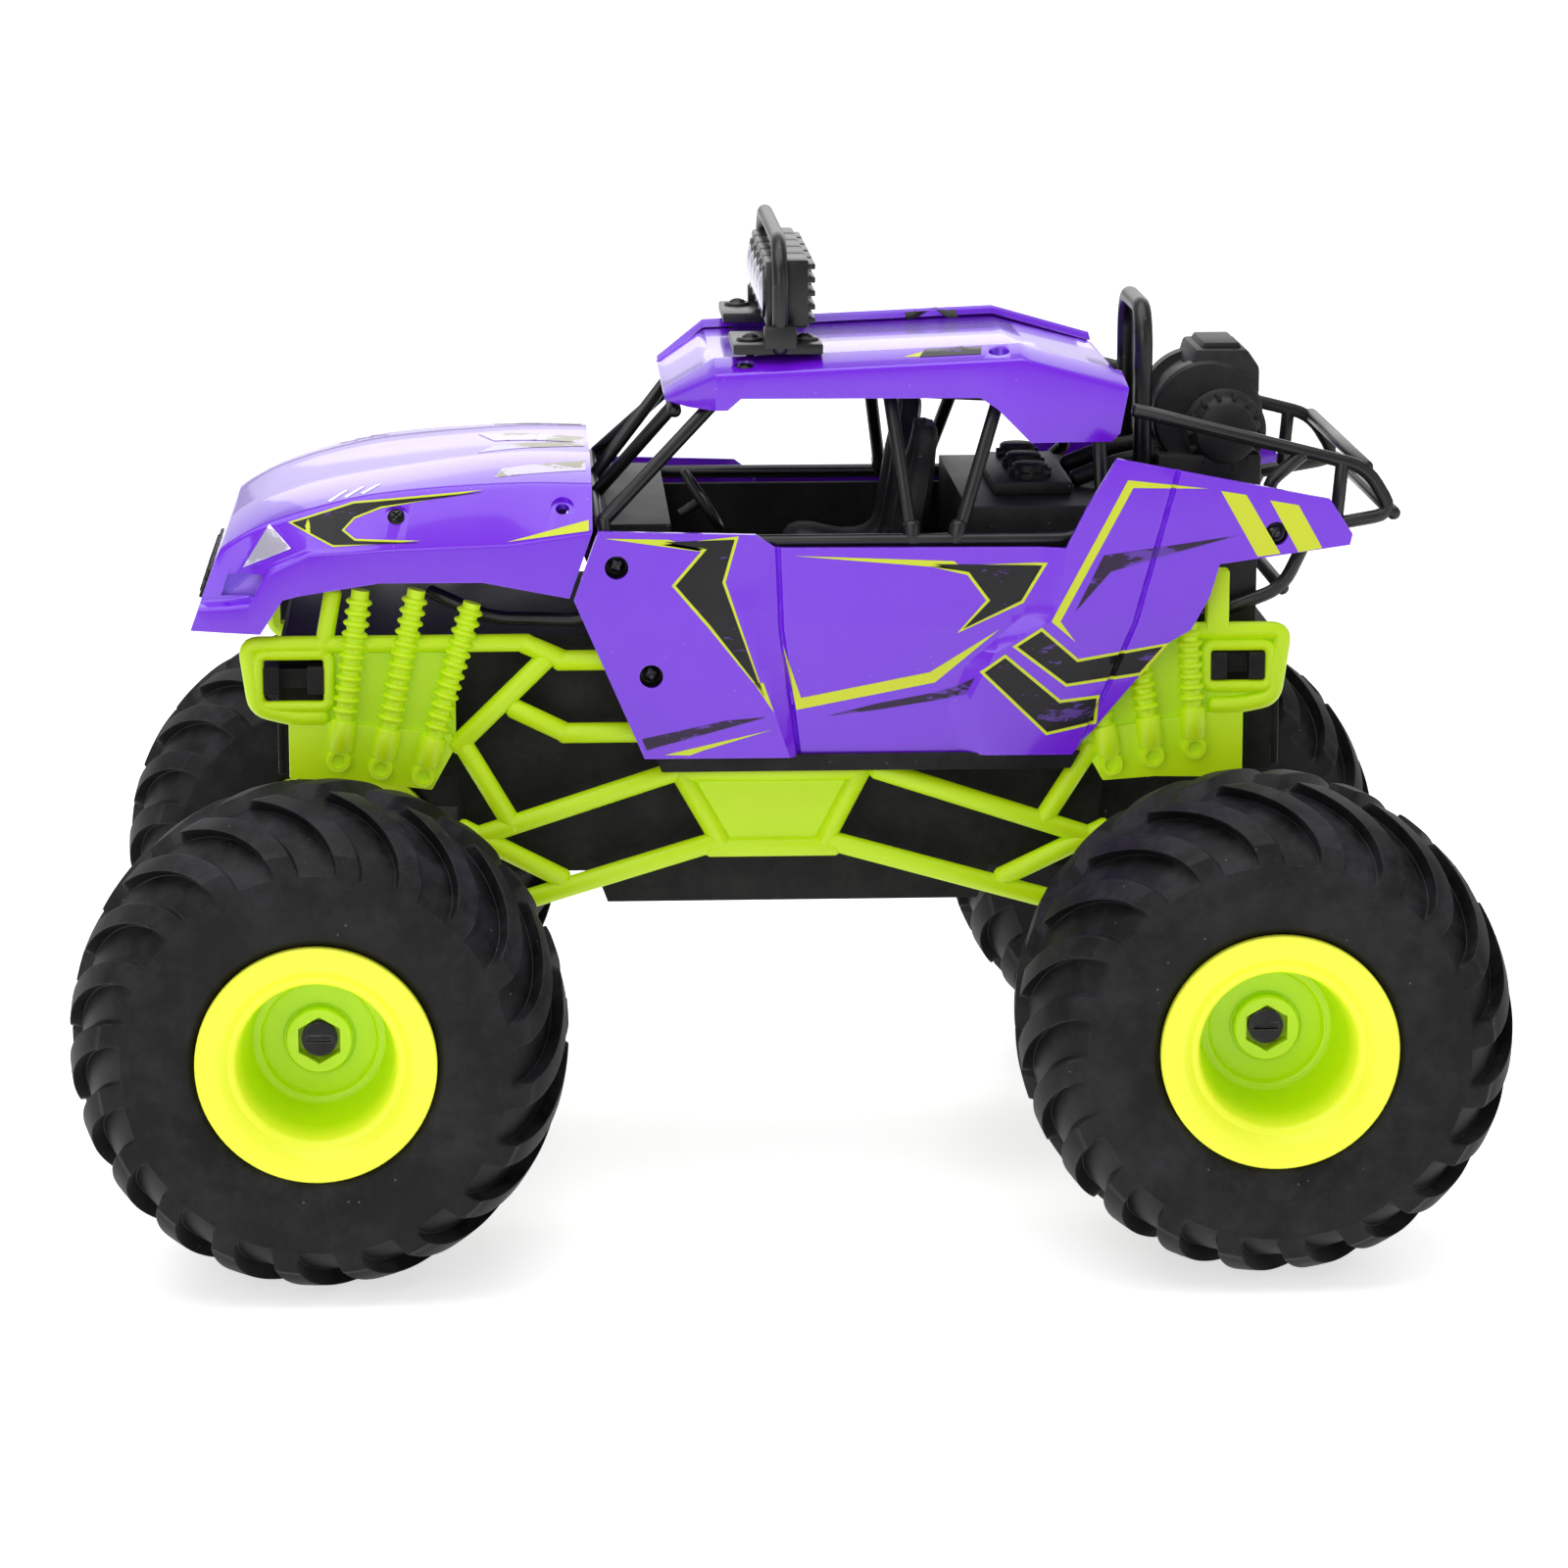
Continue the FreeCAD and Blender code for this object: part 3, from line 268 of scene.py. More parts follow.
# Up-facing faces get more: settling dust, and on the tyres a painted sheen where the lamp above
# lights the lugs.
upward = add(dust_and_sheen_group, "MapRange", {
    "Value": facing.outputs["Z"], "From Min": -0.3, "From Max": 0.9,
    "To Min": 0.35, "To Max": 1.0})
patches = add(dust_and_sheen_group, "TexNoise", {
    "Vector": where.outputs["Object"], "Scale": 70.0, "Detail": 6.0, "Roughness": 0.7})
soft = add(dust_and_sheen_group, "MapRange", {
    "Value": patches.outputs["Fac"], "From Min": 0.42, "From Max": 0.75})
veil = add(dust_and_sheen_group, "Math", {
    0: soft.outputs["Result"], 1: dust_and_sheen_in.outputs["Amount"]}, operation="MULTIPLY")
veil_up = add(dust_and_sheen_group, "Math", {
    0: veil.outputs[0], 1: upward.outputs["Result"]}, operation="MULTIPLY")
dots = add(dust_and_sheen_group, "TexVoronoi", {
    "Vector": where.outputs["Object"], "Scale": 420.0, "Randomness": 1.0})
near = add(dust_and_sheen_group, "Math", {0: dots.outputs["Distance"], 1: 0.11}, operation="LESS_THAN")
pick = add(dust_and_sheen_group, "SeparateColor", {"Color": dots.outputs["Color"]})
few = add(dust_and_sheen_group, "Math", {0: pick.outputs["Red"], 1: 0.93}, operation="GREATER_THAN")
speck = add(dust_and_sheen_group, "Math", {0: near.outputs[0], 1: few.outputs[0]}, operation="MULTIPLY")
bright = add(dust_and_sheen_group, "Math", {
    0: speck.outputs[0], 1: dust_and_sheen_in.outputs["Specks"]}, operation="MULTIPLY")
mask = add(dust_and_sheen_group, "Math", {
    0: veil_up.outputs[0], 1: bright.outputs[0]}, operation="ADD", use_clamp=True)
dusted_and_sheened = blend(dust_and_sheen_group, mask.outputs[0], dust_and_sheen_in.outputs["Colour"],
               dust_and_sheen_in.outputs["Dust and sheen colour"])
dust_and_sheen_group.links.new(dusted_and_sheened, dust_and_sheen_out.inputs["Colour"])
dust_and_sheen_group.links.new(mask.outputs[0], dust_and_sheen_out.inputs["Mask"])
print(dust_and_sheen_group.name, "has", len(dust_and_sheen_group.nodes), "nodes")

# %% Group: rubbed edges and painted edge highlight
# Handling polishes corners first, and the lighter edge also paints the highlight that
# a rounded edge catches: part wear, part painted highlight. A rounded copy of the
# normal differs from the true one only near an edge, and that difference is the mask.
edge_group, edge_in, edge_out = new_group(
    "Rubbed and highlighted edges",
    [("Colour", COLOUR, (0.5, 0.5, 0.5, 1)), ("Edge colour", COLOUR, (0.8, 0.8, 0.8, 1)),
     ("Amount", FLOAT, 0.3), ("Width", FLOAT, 0.0006)],
    [("Colour", COLOUR), ("Mask", FLOAT)])
round_off = add(edge_group, "Bevel", {"Radius": edge_in.outputs["Width"]}, samples=4)
shape = add(edge_group, "NewGeometry")
where = add(edge_group, "TexCoord")
same = add(edge_group, "VectorMath", {
    0: round_off.outputs["Normal"], 1: shape.outputs["Normal"]}, operation="DOT_PRODUCT")
off = add(edge_group, "MapRange", {
    "Value": same.outputs["Value"], "From Min": 0.985, "From Max": 0.85})
chips = add(edge_group, "TexNoise", {
    "Vector": where.outputs["Object"], "Scale": 260.0, "Detail": 5.0, "Roughness": 0.7})
broken = add(edge_group, "MapRange", {
    "Value": chips.outputs["Fac"], "From Min": 0.4, "From Max": 0.62})
worn_and_lit = add(edge_group, "Math", {
    0: off.outputs["Result"], 1: broken.outputs["Result"]}, operation="MULTIPLY")
mask = add(edge_group, "Math", {
    0: worn_and_lit.outputs[0], 1: edge_in.outputs["Amount"]}, operation="MULTIPLY")
rubbed_and_lit = blend(edge_group, mask.outputs[0], edge_in.outputs["Colour"],
               edge_in.outputs["Edge colour"])
edge_group.links.new(rubbed_and_lit, edge_out.inputs["Colour"])
edge_group.links.new(mask.outputs[0], edge_out.inputs["Mask"])
print("shader groups:", sorted(g.name for g in bpy.data.node_groups))

# %% [markdown]
# ## Finishes
# Almost every part of the truck is injection-moulded plastic, so one recipe covers
# them: tone drift, rubbed edges with a painted edge highlight, dust that on the tyres is
# also a painted sheen, then a Principled shader whose roughness and normal follow the
# grain. Numbers that don't change over the surface, such as the clear coat of the
# shell, sit on the shader's own sockets.

# %% The plastic recipe
def moulded(name, colour, roughness, grain=1500.0, depth=0.05, tone=0.05, edge=None,
            edge_amount=0.3, dust_and_sheen=0.05, specks=0.2, coat=0.0, gloss_change=0.12,
            dust_and_sheen_colour=(0.55, 0.53, 0.5, 1), metallic=0.0, scatter=0.0, painted_light=0.0, shine=0.5):
    """A moulded material: colour and roughness vary by node groups, the rest is plain."""
    made = bpy.data.materials.new(name)
    made.use_nodes = True
    tree = made.node_tree
    skin = tree.nodes["Principled BSDF"]
    toned = place_group(tree, tone_group, {"Colour": colour, "Amount": tone})
    worn_and_lit = place_group(tree, edge_group, {
        "Colour": toned.outputs["Colour"], "Edge colour": edge or colour,
        "Amount": edge_amount if edge else 0.0})
    dust_and_sheen_node = place_group(tree, dust_and_sheen_group, {
        "Colour": worn_and_lit.outputs["Colour"], "Dust and sheen colour": dust_and_sheen_colour,
        "Amount": dust_and_sheen, "Specks": specks})
    pebbled = place_group(tree, grain_group, {
        "Size per metre": grain, "Roughness": roughness, "Gloss change": gloss_change})
    rougher = add(tree, "Math", {
        0: dust_and_sheen_node.outputs["Mask"], 1: 0.4, 2: pebbled.outputs["Roughness"]},
        operation="MULTIPLY_ADD", use_clamp=True)
    bump = add(tree, "Bump", {
        "Height": pebbled.outputs["Height"], "Strength": depth, "Distance": 0.0004})
    tree.links.new(dust_and_sheen_node.outputs["Colour"], skin.inputs["Base Color"])
    tree.links.new(rougher.outputs[0], skin.inputs["Roughness"])
    tree.links.new(bump.outputs["Normal"], skin.inputs["Normal"])
    skin.inputs["Coat Weight"].default_value = coat
    skin.inputs["Coat Roughness"].default_value = 0.06
    skin.inputs["Metallic"].default_value = metallic
    skin.inputs["Specular IOR Level"].default_value = shine
    # Emission here is a painted glow: light from a part that is no lamp.
    if painted_light:
        tree.links.new(dust_and_sheen_node.outputs["Colour"], skin.inputs["Emission Color"])
        skin.inputs["Emission Strength"].default_value = painted_light
    if scatter:
        skin.inputs["Subsurface Weight"].default_value = scatter
        skin.inputs["Subsurface Scale"].default_value = 0.002
        skin.inputs["Subsurface Radius"].default_value = (1.0, 0.9, 0.3)
    return made


# %% The palette
# The lighter edge colours below are part wear, part a painted highlight along edges.
PURPLE, LIME = rgba(114, 16, 225), rgba(192, 228, 0)
shell_purple = moulded("shell_purple", PURPLE, 0.24, grain=900, depth=0.012, tone=0.03,
                       edge=rgba(170, 130, 240), edge_amount=0.35, dust_and_sheen=0.02, specks=0.1,
                       coat=0.6, gloss_change=0.06)
# The lime frame gets a weak emission, a painted glow, though it is no lamp.
frame_lime = moulded("frame_lime", LIME, 0.42, grain=1400, depth=0.05, tone=0.05,
                     edge=rgba(215, 245, 60), edge_amount=0.3, dust_and_sheen=0.015, specks=0.1,
                     painted_light=0.1)
frame_black = moulded("chassis_black", rgba(12, 12, 13), 0.55, depth=0.12, shine=0.25,
                      edge=rgba(90, 90, 92), dust_and_sheen=0.06)
cage_black = moulded("cage_black", rgba(14, 14, 15), 0.33, depth=0.05,
                     edge=rgba(80, 80, 84), dust_and_sheen=0.03, specks=0.1)
cabin_black = moulded("cabin_black", rgba(19, 19, 20), 0.5, depth=0.1, shine=0.35,
                      edge=rgba(85, 85, 88), dust_and_sheen=0.06)
screw_steel = moulded("screw_black", rgba(34, 34, 36), 0.3, depth=0.04, metallic=0.8,
                      edge=rgba(140, 140, 140), edge_amount=0.5)
bright_steel = moulded("steel", rgba(170, 172, 175), 0.28, depth=0.05, metallic=1.0,
                       edge=rgba(220, 220, 220), edge_amount=0.4)
motor_steel = moulded("motor_can", rgba(150, 152, 155), 0.35, depth=0.08, metallic=1.0,
                      edge=rgba(210, 210, 210))
gear_white = moulded("gear_nylon", rgba(222, 220, 208), 0.45, depth=0.05, dust_and_sheen=0.05,
                     scatter=0.1)
pinion_brass = moulded("pinion_brass", rgba(205, 165, 80), 0.3, metallic=1.0,
                       edge=rgba(240, 210, 130))
board_green = moulded("board_green", rgba(24, 92, 52), 0.4, tone=0.12)
battery_blue = moulded("battery_wrap", rgba(40, 60, 120), 0.35, coat=0.4)
switch_black = moulded("switch_plastic", rgba(28, 28, 30), 0.4, depth=0.08,
                       edge=rgba(90, 90, 90))
lens_pearl = moulded("lens_clear", rgba(214, 210, 226), 0.18, depth=0.02, coat=0.8,
                     metallic=0.25)
print("finishes:", sorted(m.name for m in bpy.data.materials))

# %% [markdown]
# ## Mesh helpers
# A toy's parts are turned (wheels), bent from rod (tubes), or cut from a side view
# and pushed in (plates), so we write one helper for each. They all add to a bmesh in
# millimetres. `to_piece` closes the job: metres, smooth shading with crisp creases,
# a finish, and the body that the piece rides on.

# %% From a bmesh to a named piece
def to_piece(name, bm, body, finish, stands_for=(), crisp=32):
    """Turn a millimetre bmesh into an object that rides on a body."""
    bmesh.ops.remove_doubles(bm, verts=bm.verts, dist=0.004)
    bmesh.ops.dissolve_degenerate(bm, edges=bm.edges, dist=0.003)
    bmesh.ops.recalc_face_normals(bm, faces=bm.faces)
    bmesh.ops.scale(bm, vec=(MM, MM, MM), verts=bm.verts)
    mesh = bpy.data.meshes.new(name)
    bm.to_mesh(mesh)
    bm.free()
    mesh.shade_smooth()
    mesh.set_sharp_from_angle(angle=math.radians(crisp))
    mesh.materials.append(finish)
    made = bpy.data.objects.new(name, mesh)
    bpy.context.scene.collection.objects.link(made)
    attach(made, body)
    if stands_for:
        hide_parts(*stands_for)
    return made


def bridge(bm, rings):
    """Join each ring of corners to the next one by a band of faces."""
    for here, there in zip(rings, rings[1:]):
        for k in range(len(here)):
            j = (k + 1) % len(here)
            bm.faces.new((here[k], here[j], there[j], there[k]))


def soften(bm, width, angle=30, segments=2, faces=None):
    """Round every edge sharper than angle degrees, as a mould's cutter leaves it."""
    limit = math.radians(angle)
    kept = set(faces) if faces else None
    sharp = [e for e in bm.edges if len(e.link_faces) == 2
             and e.calc_face_angle(0) > limit
             and (kept is None or any(f in kept for f in e.link_faces))]
    bmesh.ops.bevel(bm, geom=sharp, offset=width, offset_type="OFFSET", segments=segments,
                    profile=0.6, affect="EDGES", clamp_overlap=True)


# %% Plates and blocks
AXIS_ORDER = {"x": lambda a, u, v: (a, u, v), "y": lambda a, u, v: (u, a, v),
              "z": lambda a, u, v: (u, v, a)}


def plate(bm, outline, low, high, axis="x", round_to=0.0):
    """Extrude a 2-D outline along an axis from low to high, with softened edges."""
    place = AXIS_ORDER[axis]
    near = [bm.verts.new(place(low, u, v)) for u, v in outline]
    far = [bm.verts.new(place(high, u, v)) for u, v in outline]
    count = len(outline)
    faces = [bm.faces.new(near), bm.faces.new(far[::-1])]
    faces += [bm.faces.new((near[i], far[i], far[(i + 1) % count], near[(i + 1) % count]))
              for i in range(count)]
    bmesh.ops.recalc_face_normals(bm, faces=faces)
    if round_to:
        soften(bm, round_to, faces=faces)


def block(bm, low, high, round_to):
    """A rectangular block between two corners, with softened edges."""
    outline = [(low[1], low[2]), (high[1], low[2]), (high[1], high[2]), (low[1], high[2])]
    plate(bm, outline, low[0], high[0], "x", round_to)


sample = bmesh.new()
block(sample, (0, 0, 0), (10, 10, 10), 0.5)
print("a softened block has", len(sample.faces), "faces")
sample.free()


# %% Turned parts
def turned(bm, profile, centre, axis, steps):
    """Spin a closed (along, radius) profile round an axis through centre."""
    along_to = {"x": lambda a, r, t: (a, r * math.cos(t), r * math.sin(t)),
                "y": lambda a, r, t: (r * math.sin(t), a, r * math.cos(t)),
                "z": lambda a, r, t: (r * math.cos(t), r * math.sin(t), a)}[axis]
    middle = Vector(centre)
    rings = []
    for k in range(steps):
        turn = 2 * math.pi * k / steps
        rings.append([bm.verts.new(middle + Vector(along_to(a, r, turn))) for a, r in profile])
    count = len(profile)
    for k in range(steps):
        here, there = rings[k], rings[(k + 1) % steps]
        for i in range(count):
            j = (i + 1) % count
            if profile[i][1] < 1e-6 and profile[j][1] < 1e-6:
                continue
            ring = [here[i], here[j], there[j], there[i]]
            if profile[i][1] < 1e-6:
                ring = [here[i], here[j], there[j]]
            elif profile[j][1] < 1e-6:
                ring = [here[i], here[j], there[i]]
            bm.faces.new(ring)
    bmesh.ops.remove_doubles(bm, verts=bm.verts, dist=0.0005)


sample = bmesh.new()
turned(sample, [(0, 0), (0, 5), (2, 5), (2, 0)], (0, 0, 0), "x", 24)
print("a turned disc has", len(sample.faces), "faces")
sample.free()

# %% Bent rod
def rounded_path(points, bend, steps=5):
    """Replace each inner corner of a polyline by a smooth bend of the given reach."""
    points = [Vector(p) for p in points]
    path = [points[0]]
    for before, corner, after in zip(points, points[1:], points[2:]):
        reach = min(bend, (corner - before).length * 0.48, (after - corner).length * 0.48)
        start = corner + (before - corner).normalized() * reach
        end = corner + (after - corner).normalized() * reach
        for k in range(steps + 1):
            t = k / steps
            path.append(start * (1 - t) ** 2 + corner * 2 * t * (1 - t) + end * t ** 2)
    return path + [points[-1]]


def rod(bm, points, radius, bend=5.0, sides=14, closed=False, flat=1.0):
    """Sweep a round section along a path with rounded bends and domed ends."""
    bent = len(points) > 2 and not closed
    path = rounded_path(points, bend) if bent else [Vector(p) for p in points]
    count = len(path)
    side = (path[1] - path[0]).orthogonal().normalized()
    frames = []
    for i, spot in enumerate(path):
        if closed:
            ahead = (path[(i + 1) % count] - path[i - 1]).normalized()
        else:
            ahead = (path[min(i + 1, count - 1)] - path[max(i - 1, 0)]).normalized()
        side = (side - ahead * side.dot(ahead)).normalized()
        frames.append((spot, side.copy(), ahead.cross(side), ahead, radius))
    if not closed:
        def cap(frame, sign):
            spot, s, u, ahead, r = frame
            return [(spot + ahead * sign * r * math.sin(a) * 0.6, s, u, ahead, r * math.cos(a))
                    for a in (math.radians(35), math.radians(70))]
        frames = cap(frames[0], -1)[::-1] + frames + cap(frames[-1], 1)
    rings = []
    for spot, s, u, ahead, r in frames:
        rings.append([bm.verts.new(spot + s * (r * math.cos(2 * math.pi * k / sides))
                                   + u * (r * flat * math.sin(2 * math.pi * k / sides)))
                      for k in range(sides)])
    bridge(bm, rings + rings[:1] if closed else rings)
    if not closed:
        bm.faces.new(rings[0][::-1])
        bm.faces.new(rings[-1])


sample = bmesh.new()
rod(sample, [(0, 0, 0), (0, 0, 20), (0, 20, 20)], 1.5)
print("a rod with one bend has", len(sample.faces), "faces")
sample.free()


# %% Left and right hands
def mirrored(bm):
    """A copy of a bmesh on the other side of the truck."""
    twin = bm.copy()
    bmesh.ops.scale(twin, vec=(-1, 1, 1), verts=twin.verts)
    bmesh.ops.reverse_faces(twin, faces=twin.faces)
    return twin


def to_pair(name, bm, body, finish, stands_for=None, crisp=32):
    """A left-hand moulding and its mirror, as two pieces. Gives back the right one."""
    twin = mirrored(bm)
    for side_name, half in (("left", bm), ("right", twin)):
        nodes = [f"{stands_for}_{side_name}"] if stands_for else ()
        made = to_piece(f"{name}_{side_name}", half, body, finish, nodes, crisp)
    return made


# %% [markdown]
# ## The parts that keep their CAD shape
# Gears, servo, motor, tub and the like are right as the frame gives them. Their
# meshes stay untouched. Modifiers weld the seams that the file format left, merge
# flat triangles, round the edges a little and even out the shading. The other CAD
# nodes are hidden by the pieces that stand for them, so they need no finish.

# %% Finish for every CAD node that shows
EDGE_ROUNDING = 0.3


def dress_cad_node(name, finish):
    """Give a CAD node its finish and softly rounded edges, by modifiers only."""
    node = frame["nodes"][name]
    node.data.materials.clear()
    node.data.materials.append(finish)
    weld = node.modifiers.new("weld", "WELD")
    weld.merge_threshold = 0.00001
    merge = node.modifiers.new("flat_faces", "DECIMATE")
    merge.decimate_type = "DISSOLVE"
    merge.angle_limit = math.radians(0.8)
    corner = node.modifiers.new("rounded_edges", "BEVEL")
    corner.width = EDGE_ROUNDING * MM
    corner.segments = 2
    corner.limit_method = "ANGLE"
    corner.angle_limit = math.radians(35)
    even = node.modifiers.new("even_shading", "WEIGHTED_NORMAL")
    even.keep_sharp = True


SHOWN_NODES = [
    (frame_black, ["battery_cover", "chassis_deck", "chassis_tub", "front_axle_beam",
                   "knuckle_left", "knuckle_right", "rear_gearbox_case", "tow_hooks"]),
    (screw_steel, ["battery_cover_screw", "chassis_screws", "rear_wheel_screws",
                   "stub_axle_left", "stub_axle_right"]),
    (bright_steel, ["gear_shaft", "kingpins", "motor_shaft", "rear_axle_shaft"]),
    (gear_white, ["final_gear", "reduction_gear", "servo_arm", "tie_rod"]),
    (pinion_brass, ["motor_pinion", "rear_axle_bushes"]),
    (switch_black, ["power_switch_body", "power_switch_knob", "steering_servo"]),
    (cabin_black, ["cabin_tub"]), (battery_blue, ["battery_pack"]),
    (board_green, ["circuit_board"]), (motor_steel, ["drive_motor"])]
for finish, names in SHOWN_NODES:
    for name in names:
        dress_cad_node(name, finish)
print("CAD nodes that keep their shape:", sum(len(names) for _, names in SHOWN_NODES))

# %% [markdown]
# ## Tyres
# A toy balloon tyre is a hollow rubber shell: flat sidewall, full shoulder, and
# raised lugs that start as a square foot at the sidewall and sweep forward over the
# crown. We could model one lug and copy it, but the joints would show. Instead the
# grid itself leans with the lugs: columns sit exactly on the lug edges, so the steps
# stay crisp with few faces, and the two halves meet column to column on the centre
# line because they are half a lug apart.

# %% Tyre rubber
# Part of this rubber's pale dust is a painted sheen: it lightens the lug tops that face up
# towards the lamp.
tyre_rubber = moulded("tyre_rubber", rgba(16, 15, 17), 0.56, shine=0.22, grain=700, depth=0.16,
                      tone=0.1, edge=rgba(70, 68, 74), edge_amount=0.35, dust_and_sheen=0.22,
                      specks=0.55, gloss_change=0.25, dust_and_sheen_colour=rgba(112, 110, 116))
print("tyre finish:", tyre_rubber.name)

# %% Curves of the rubber and its lugs
LUGS = 20
SWEEP_DEG = 24.0
TYRE_HALF = 33.4
FOOT_RADIUS = 45.3
CARCASS_RADIUS = 56.0
CARCASS_START_DEG = 27.0
LUG_RADIUS = 59.0
# Where a lug's edge columns sit, as shares of the pitch; the gap repeats them.
LUG_COLUMNS = [0.0, 0.028, 0.06, 0.2, 0.34, 0.395, 0.424, 0.46]


def smooth_step(low, high, v):
    """0 below low, 1 above high, and an easy curve between."""
    t = min(1.0, max(0.0, (v - low) / (high - low)))
    return t * t * (3 - 2 * t)


def carcass_point(s):
    """The rubber between the lugs: s runs 0 at the sidewall to 1 on the centre line."""
    start = math.radians(CARCASS_START_DEG)
    angle = start + s * (math.pi / 2 - start)
    x = TYRE_HALF * math.cos(angle) / math.cos(start)
    climb = (math.sin(angle) - math.sin(start)) / (1 - math.sin(start))
    return x, FOOT_RADIUS + (CARCASS_RADIUS - FOOT_RADIUS) * climb


def lug_point(s):
    """A lug's top: a flat foot in the sidewall's plane, then an arc over the crown."""
    angle = s * math.pi / 2
    x = TYRE_HALF * math.cos(angle) ** 0.86
    r = FOOT_RADIUS + (LUG_RADIUS - FOOT_RADIUS) * math.sin(angle) ** 0.86
    foot_x = TYRE_HALF - 0.12 * (r - FOOT_RADIUS)
    blend = smooth_step(0.20, 0.245, s)
    return x * blend + foot_x * (1 - blend), r


def lug_height(share, s):
    """0 in the gap, 1 on a lug's top, with steep flanks and an end near the centre."""
    on_lug = 1.0 if 0.02 < share < 0.4 else 0.0
    return on_lug * smooth_step(0.0, 0.03, s) * (1 - smooth_step(0.955, 0.985, s))


def lug_lean(s):
    """How far the lug has swept forward at s, in degrees."""
    return SWEEP_DEG * (0.10 * s + 0.90 * s ** 1.9)


print("lugs rise over the rubber by", round(LUG_RADIUS - CARCASS_RADIUS, 1), "mm")

# %% Tyre mesh
def tyre_half(bm, side, stagger):
    """One half of the tyre's outside, from the sidewall's edge to the centre line."""
    rows = [0.0, 0.03] + [0.03 + 0.17 * k / 4 for k in range(1, 5)] + [0.222, 0.245]
    rows += [0.245 + 0.71 * k / 26 for k in range(1, 27)] + [0.985, 1.0]
    shares = LUG_COLUMNS + [c + 0.5 for c in LUG_COLUMNS]
    grid = []
    for s in rows:
        row = []
        for lug in range(LUGS):
            for share in shares:
                low_x, low_r = carcass_point(s)
                top_x, top_r = lug_point(s)
                rise = lug_height(share, s)
                x = low_x + (top_x - low_x) * rise
                r = low_r + (top_r - low_r) * rise
                turn = math.radians((lug + share + stagger) * 360 / LUGS + lug_lean(s))
                row.append(bm.verts.new((x * side, -r * math.sin(turn), r * math.cos(turn))))
        grid.append(row)
    bridge(bm, grid)
    return grid[0]


# (half width, radius) from the lugs' feet down the sidewall, round the bead and back
# along the inner skin to the centre line.
WALL_PROFILE = [(33.4, 44.6), (33.15, 40.0), (33.3, 39.2), (33.0, 36.5), (32.3, 30.0),
                (31.2, 28.6), (30.3, 28.3), (29.4, 25.05), (27.0, 25.05), (26.4, 27.5),
                (29.0, 34.0), (29.8, 42.0), (26.0, 50.0), (17.0, 53.6), (0.0, 54.6)]


def tyre_wall(bm, side, rim_ring):
    """Sidewall, bead and inner skin, joined to the ring where the lugs' feet start."""
    rings = [rim_ring]
    for x, r in WALL_PROFILE:
        ring = []
        for v in rim_ring:
            turn = math.atan2(-v.co.y, v.co.z)
            ring.append(bm.verts.new((x * side, -r * math.sin(turn), r * math.cos(turn))))
        rings.append(ring)
    bridge(bm, rings)


def tyre_mesh(lead):
    """A whole tyre about the origin. The half on side lead keeps its lugs in place."""
    bm = bmesh.new()
    for side in (1, -1):
        tyre_wall(bm, side, tyre_half(bm, side, 0.0 if side == lead else 0.5))
    bmesh.ops.remove_doubles(bm, verts=bm.verts, dist=0.01)
    soften(bm, 0.35, angle=48, segments=1)
    return bm


# %% Four tyres on their rims
WHEEL_BODIES = {("front", 1): "front_wheel_left", ("front", -1): "front_wheel_right",
                ("rear", 1): "rear_axle", ("rear", -1): "rear_axle"}
TRACK_HALF, AXLE_Z, AXLE_Y = 103.0, 59.0, {"front": -112.5, "rear": 112.5}
START_TURN = {"front": 4.0, "rear": 0.0}
for end in ("front", "rear"):
    for side_name, side in BOTH_SIDES:
        bm = tyre_mesh(side)
        bmesh.ops.rotate(bm, verts=bm.verts, cent=(0, 0, 0),
                         matrix=Matrix.Rotation(math.radians(START_TURN[end]), 3, "X"))
        bmesh.ops.translate(bm, verts=bm.verts, vec=(side * TRACK_HALF, AXLE_Y[end], AXLE_Z))
        tyre = to_piece(f"lugged_tyre_{end}_{side_name}", bm, WHEEL_BODIES[end, side],
                        tyre_rubber, [f"tyre_{end}_{side_name}"], crisp=40)
print("faces in one tyre:", len(tyre.data.polygons))

# %% [markdown]
# ## Rims
# The deep rim is one lime moulding: an outer flange, a step, a bowl, a disc
# with its own raised ring, and a boss with a hexagon pocket where the black axle end
# shows its slot. It is turned from a profile. The flange looks brighter than the
# bowl where light falls on its edge, and that brightness is painted into the finish:
# its colour changes along the axle, from lime in the bowl to a painted yellow
# highlight at the lip.

# %% Rim finish
rim_neon = bpy.data.materials.new("rim_neon")
rim_neon.use_nodes = True
tree = rim_neon.node_tree
where = add(tree, "TexCoord")
parts = add(tree, "SeparateXYZ", {"Vector": where.outputs["Object"]})
outward = add(tree, "Math", {0: parts.outputs["X"]}, operation="ABSOLUTE")
# The lip's yellow is a painted highlight: the outer flange is lightened where light falls on it.
LIP_STARTS, LIP_FULL = 0.124, 0.1345
lip_highlight = add(tree, "MapRange", {
    "Value": outward.outputs[0], "From Min": LIP_STARTS, "From Max": LIP_FULL})
painted_light = blend(tree, lip_highlight.outputs["Result"], rgba(206, 240, 0), rgba(248, 255, 60))
toned = place_group(tree, tone_group, {"Colour": painted_light, "Amount": 0.03})
dust_and_sheen_node = place_group(tree, dust_and_sheen_group, {
    "Colour": toned.outputs["Colour"], "Amount": 0.03, "Specks": 0.1})
pebbled = place_group(tree, grain_group, {
    "Size per metre": 1600.0, "Roughness": 0.38, "Gloss change": 0.1})
bump = add(tree, "Bump", {
    "Height": pebbled.outputs["Height"], "Strength": 0.04, "Distance": 0.0004})
skin = tree.nodes["Principled BSDF"]
tree.links.new(dust_and_sheen_node.outputs["Colour"], skin.inputs["Base Color"])
tree.links.new(pebbled.outputs["Roughness"], skin.inputs["Roughness"])
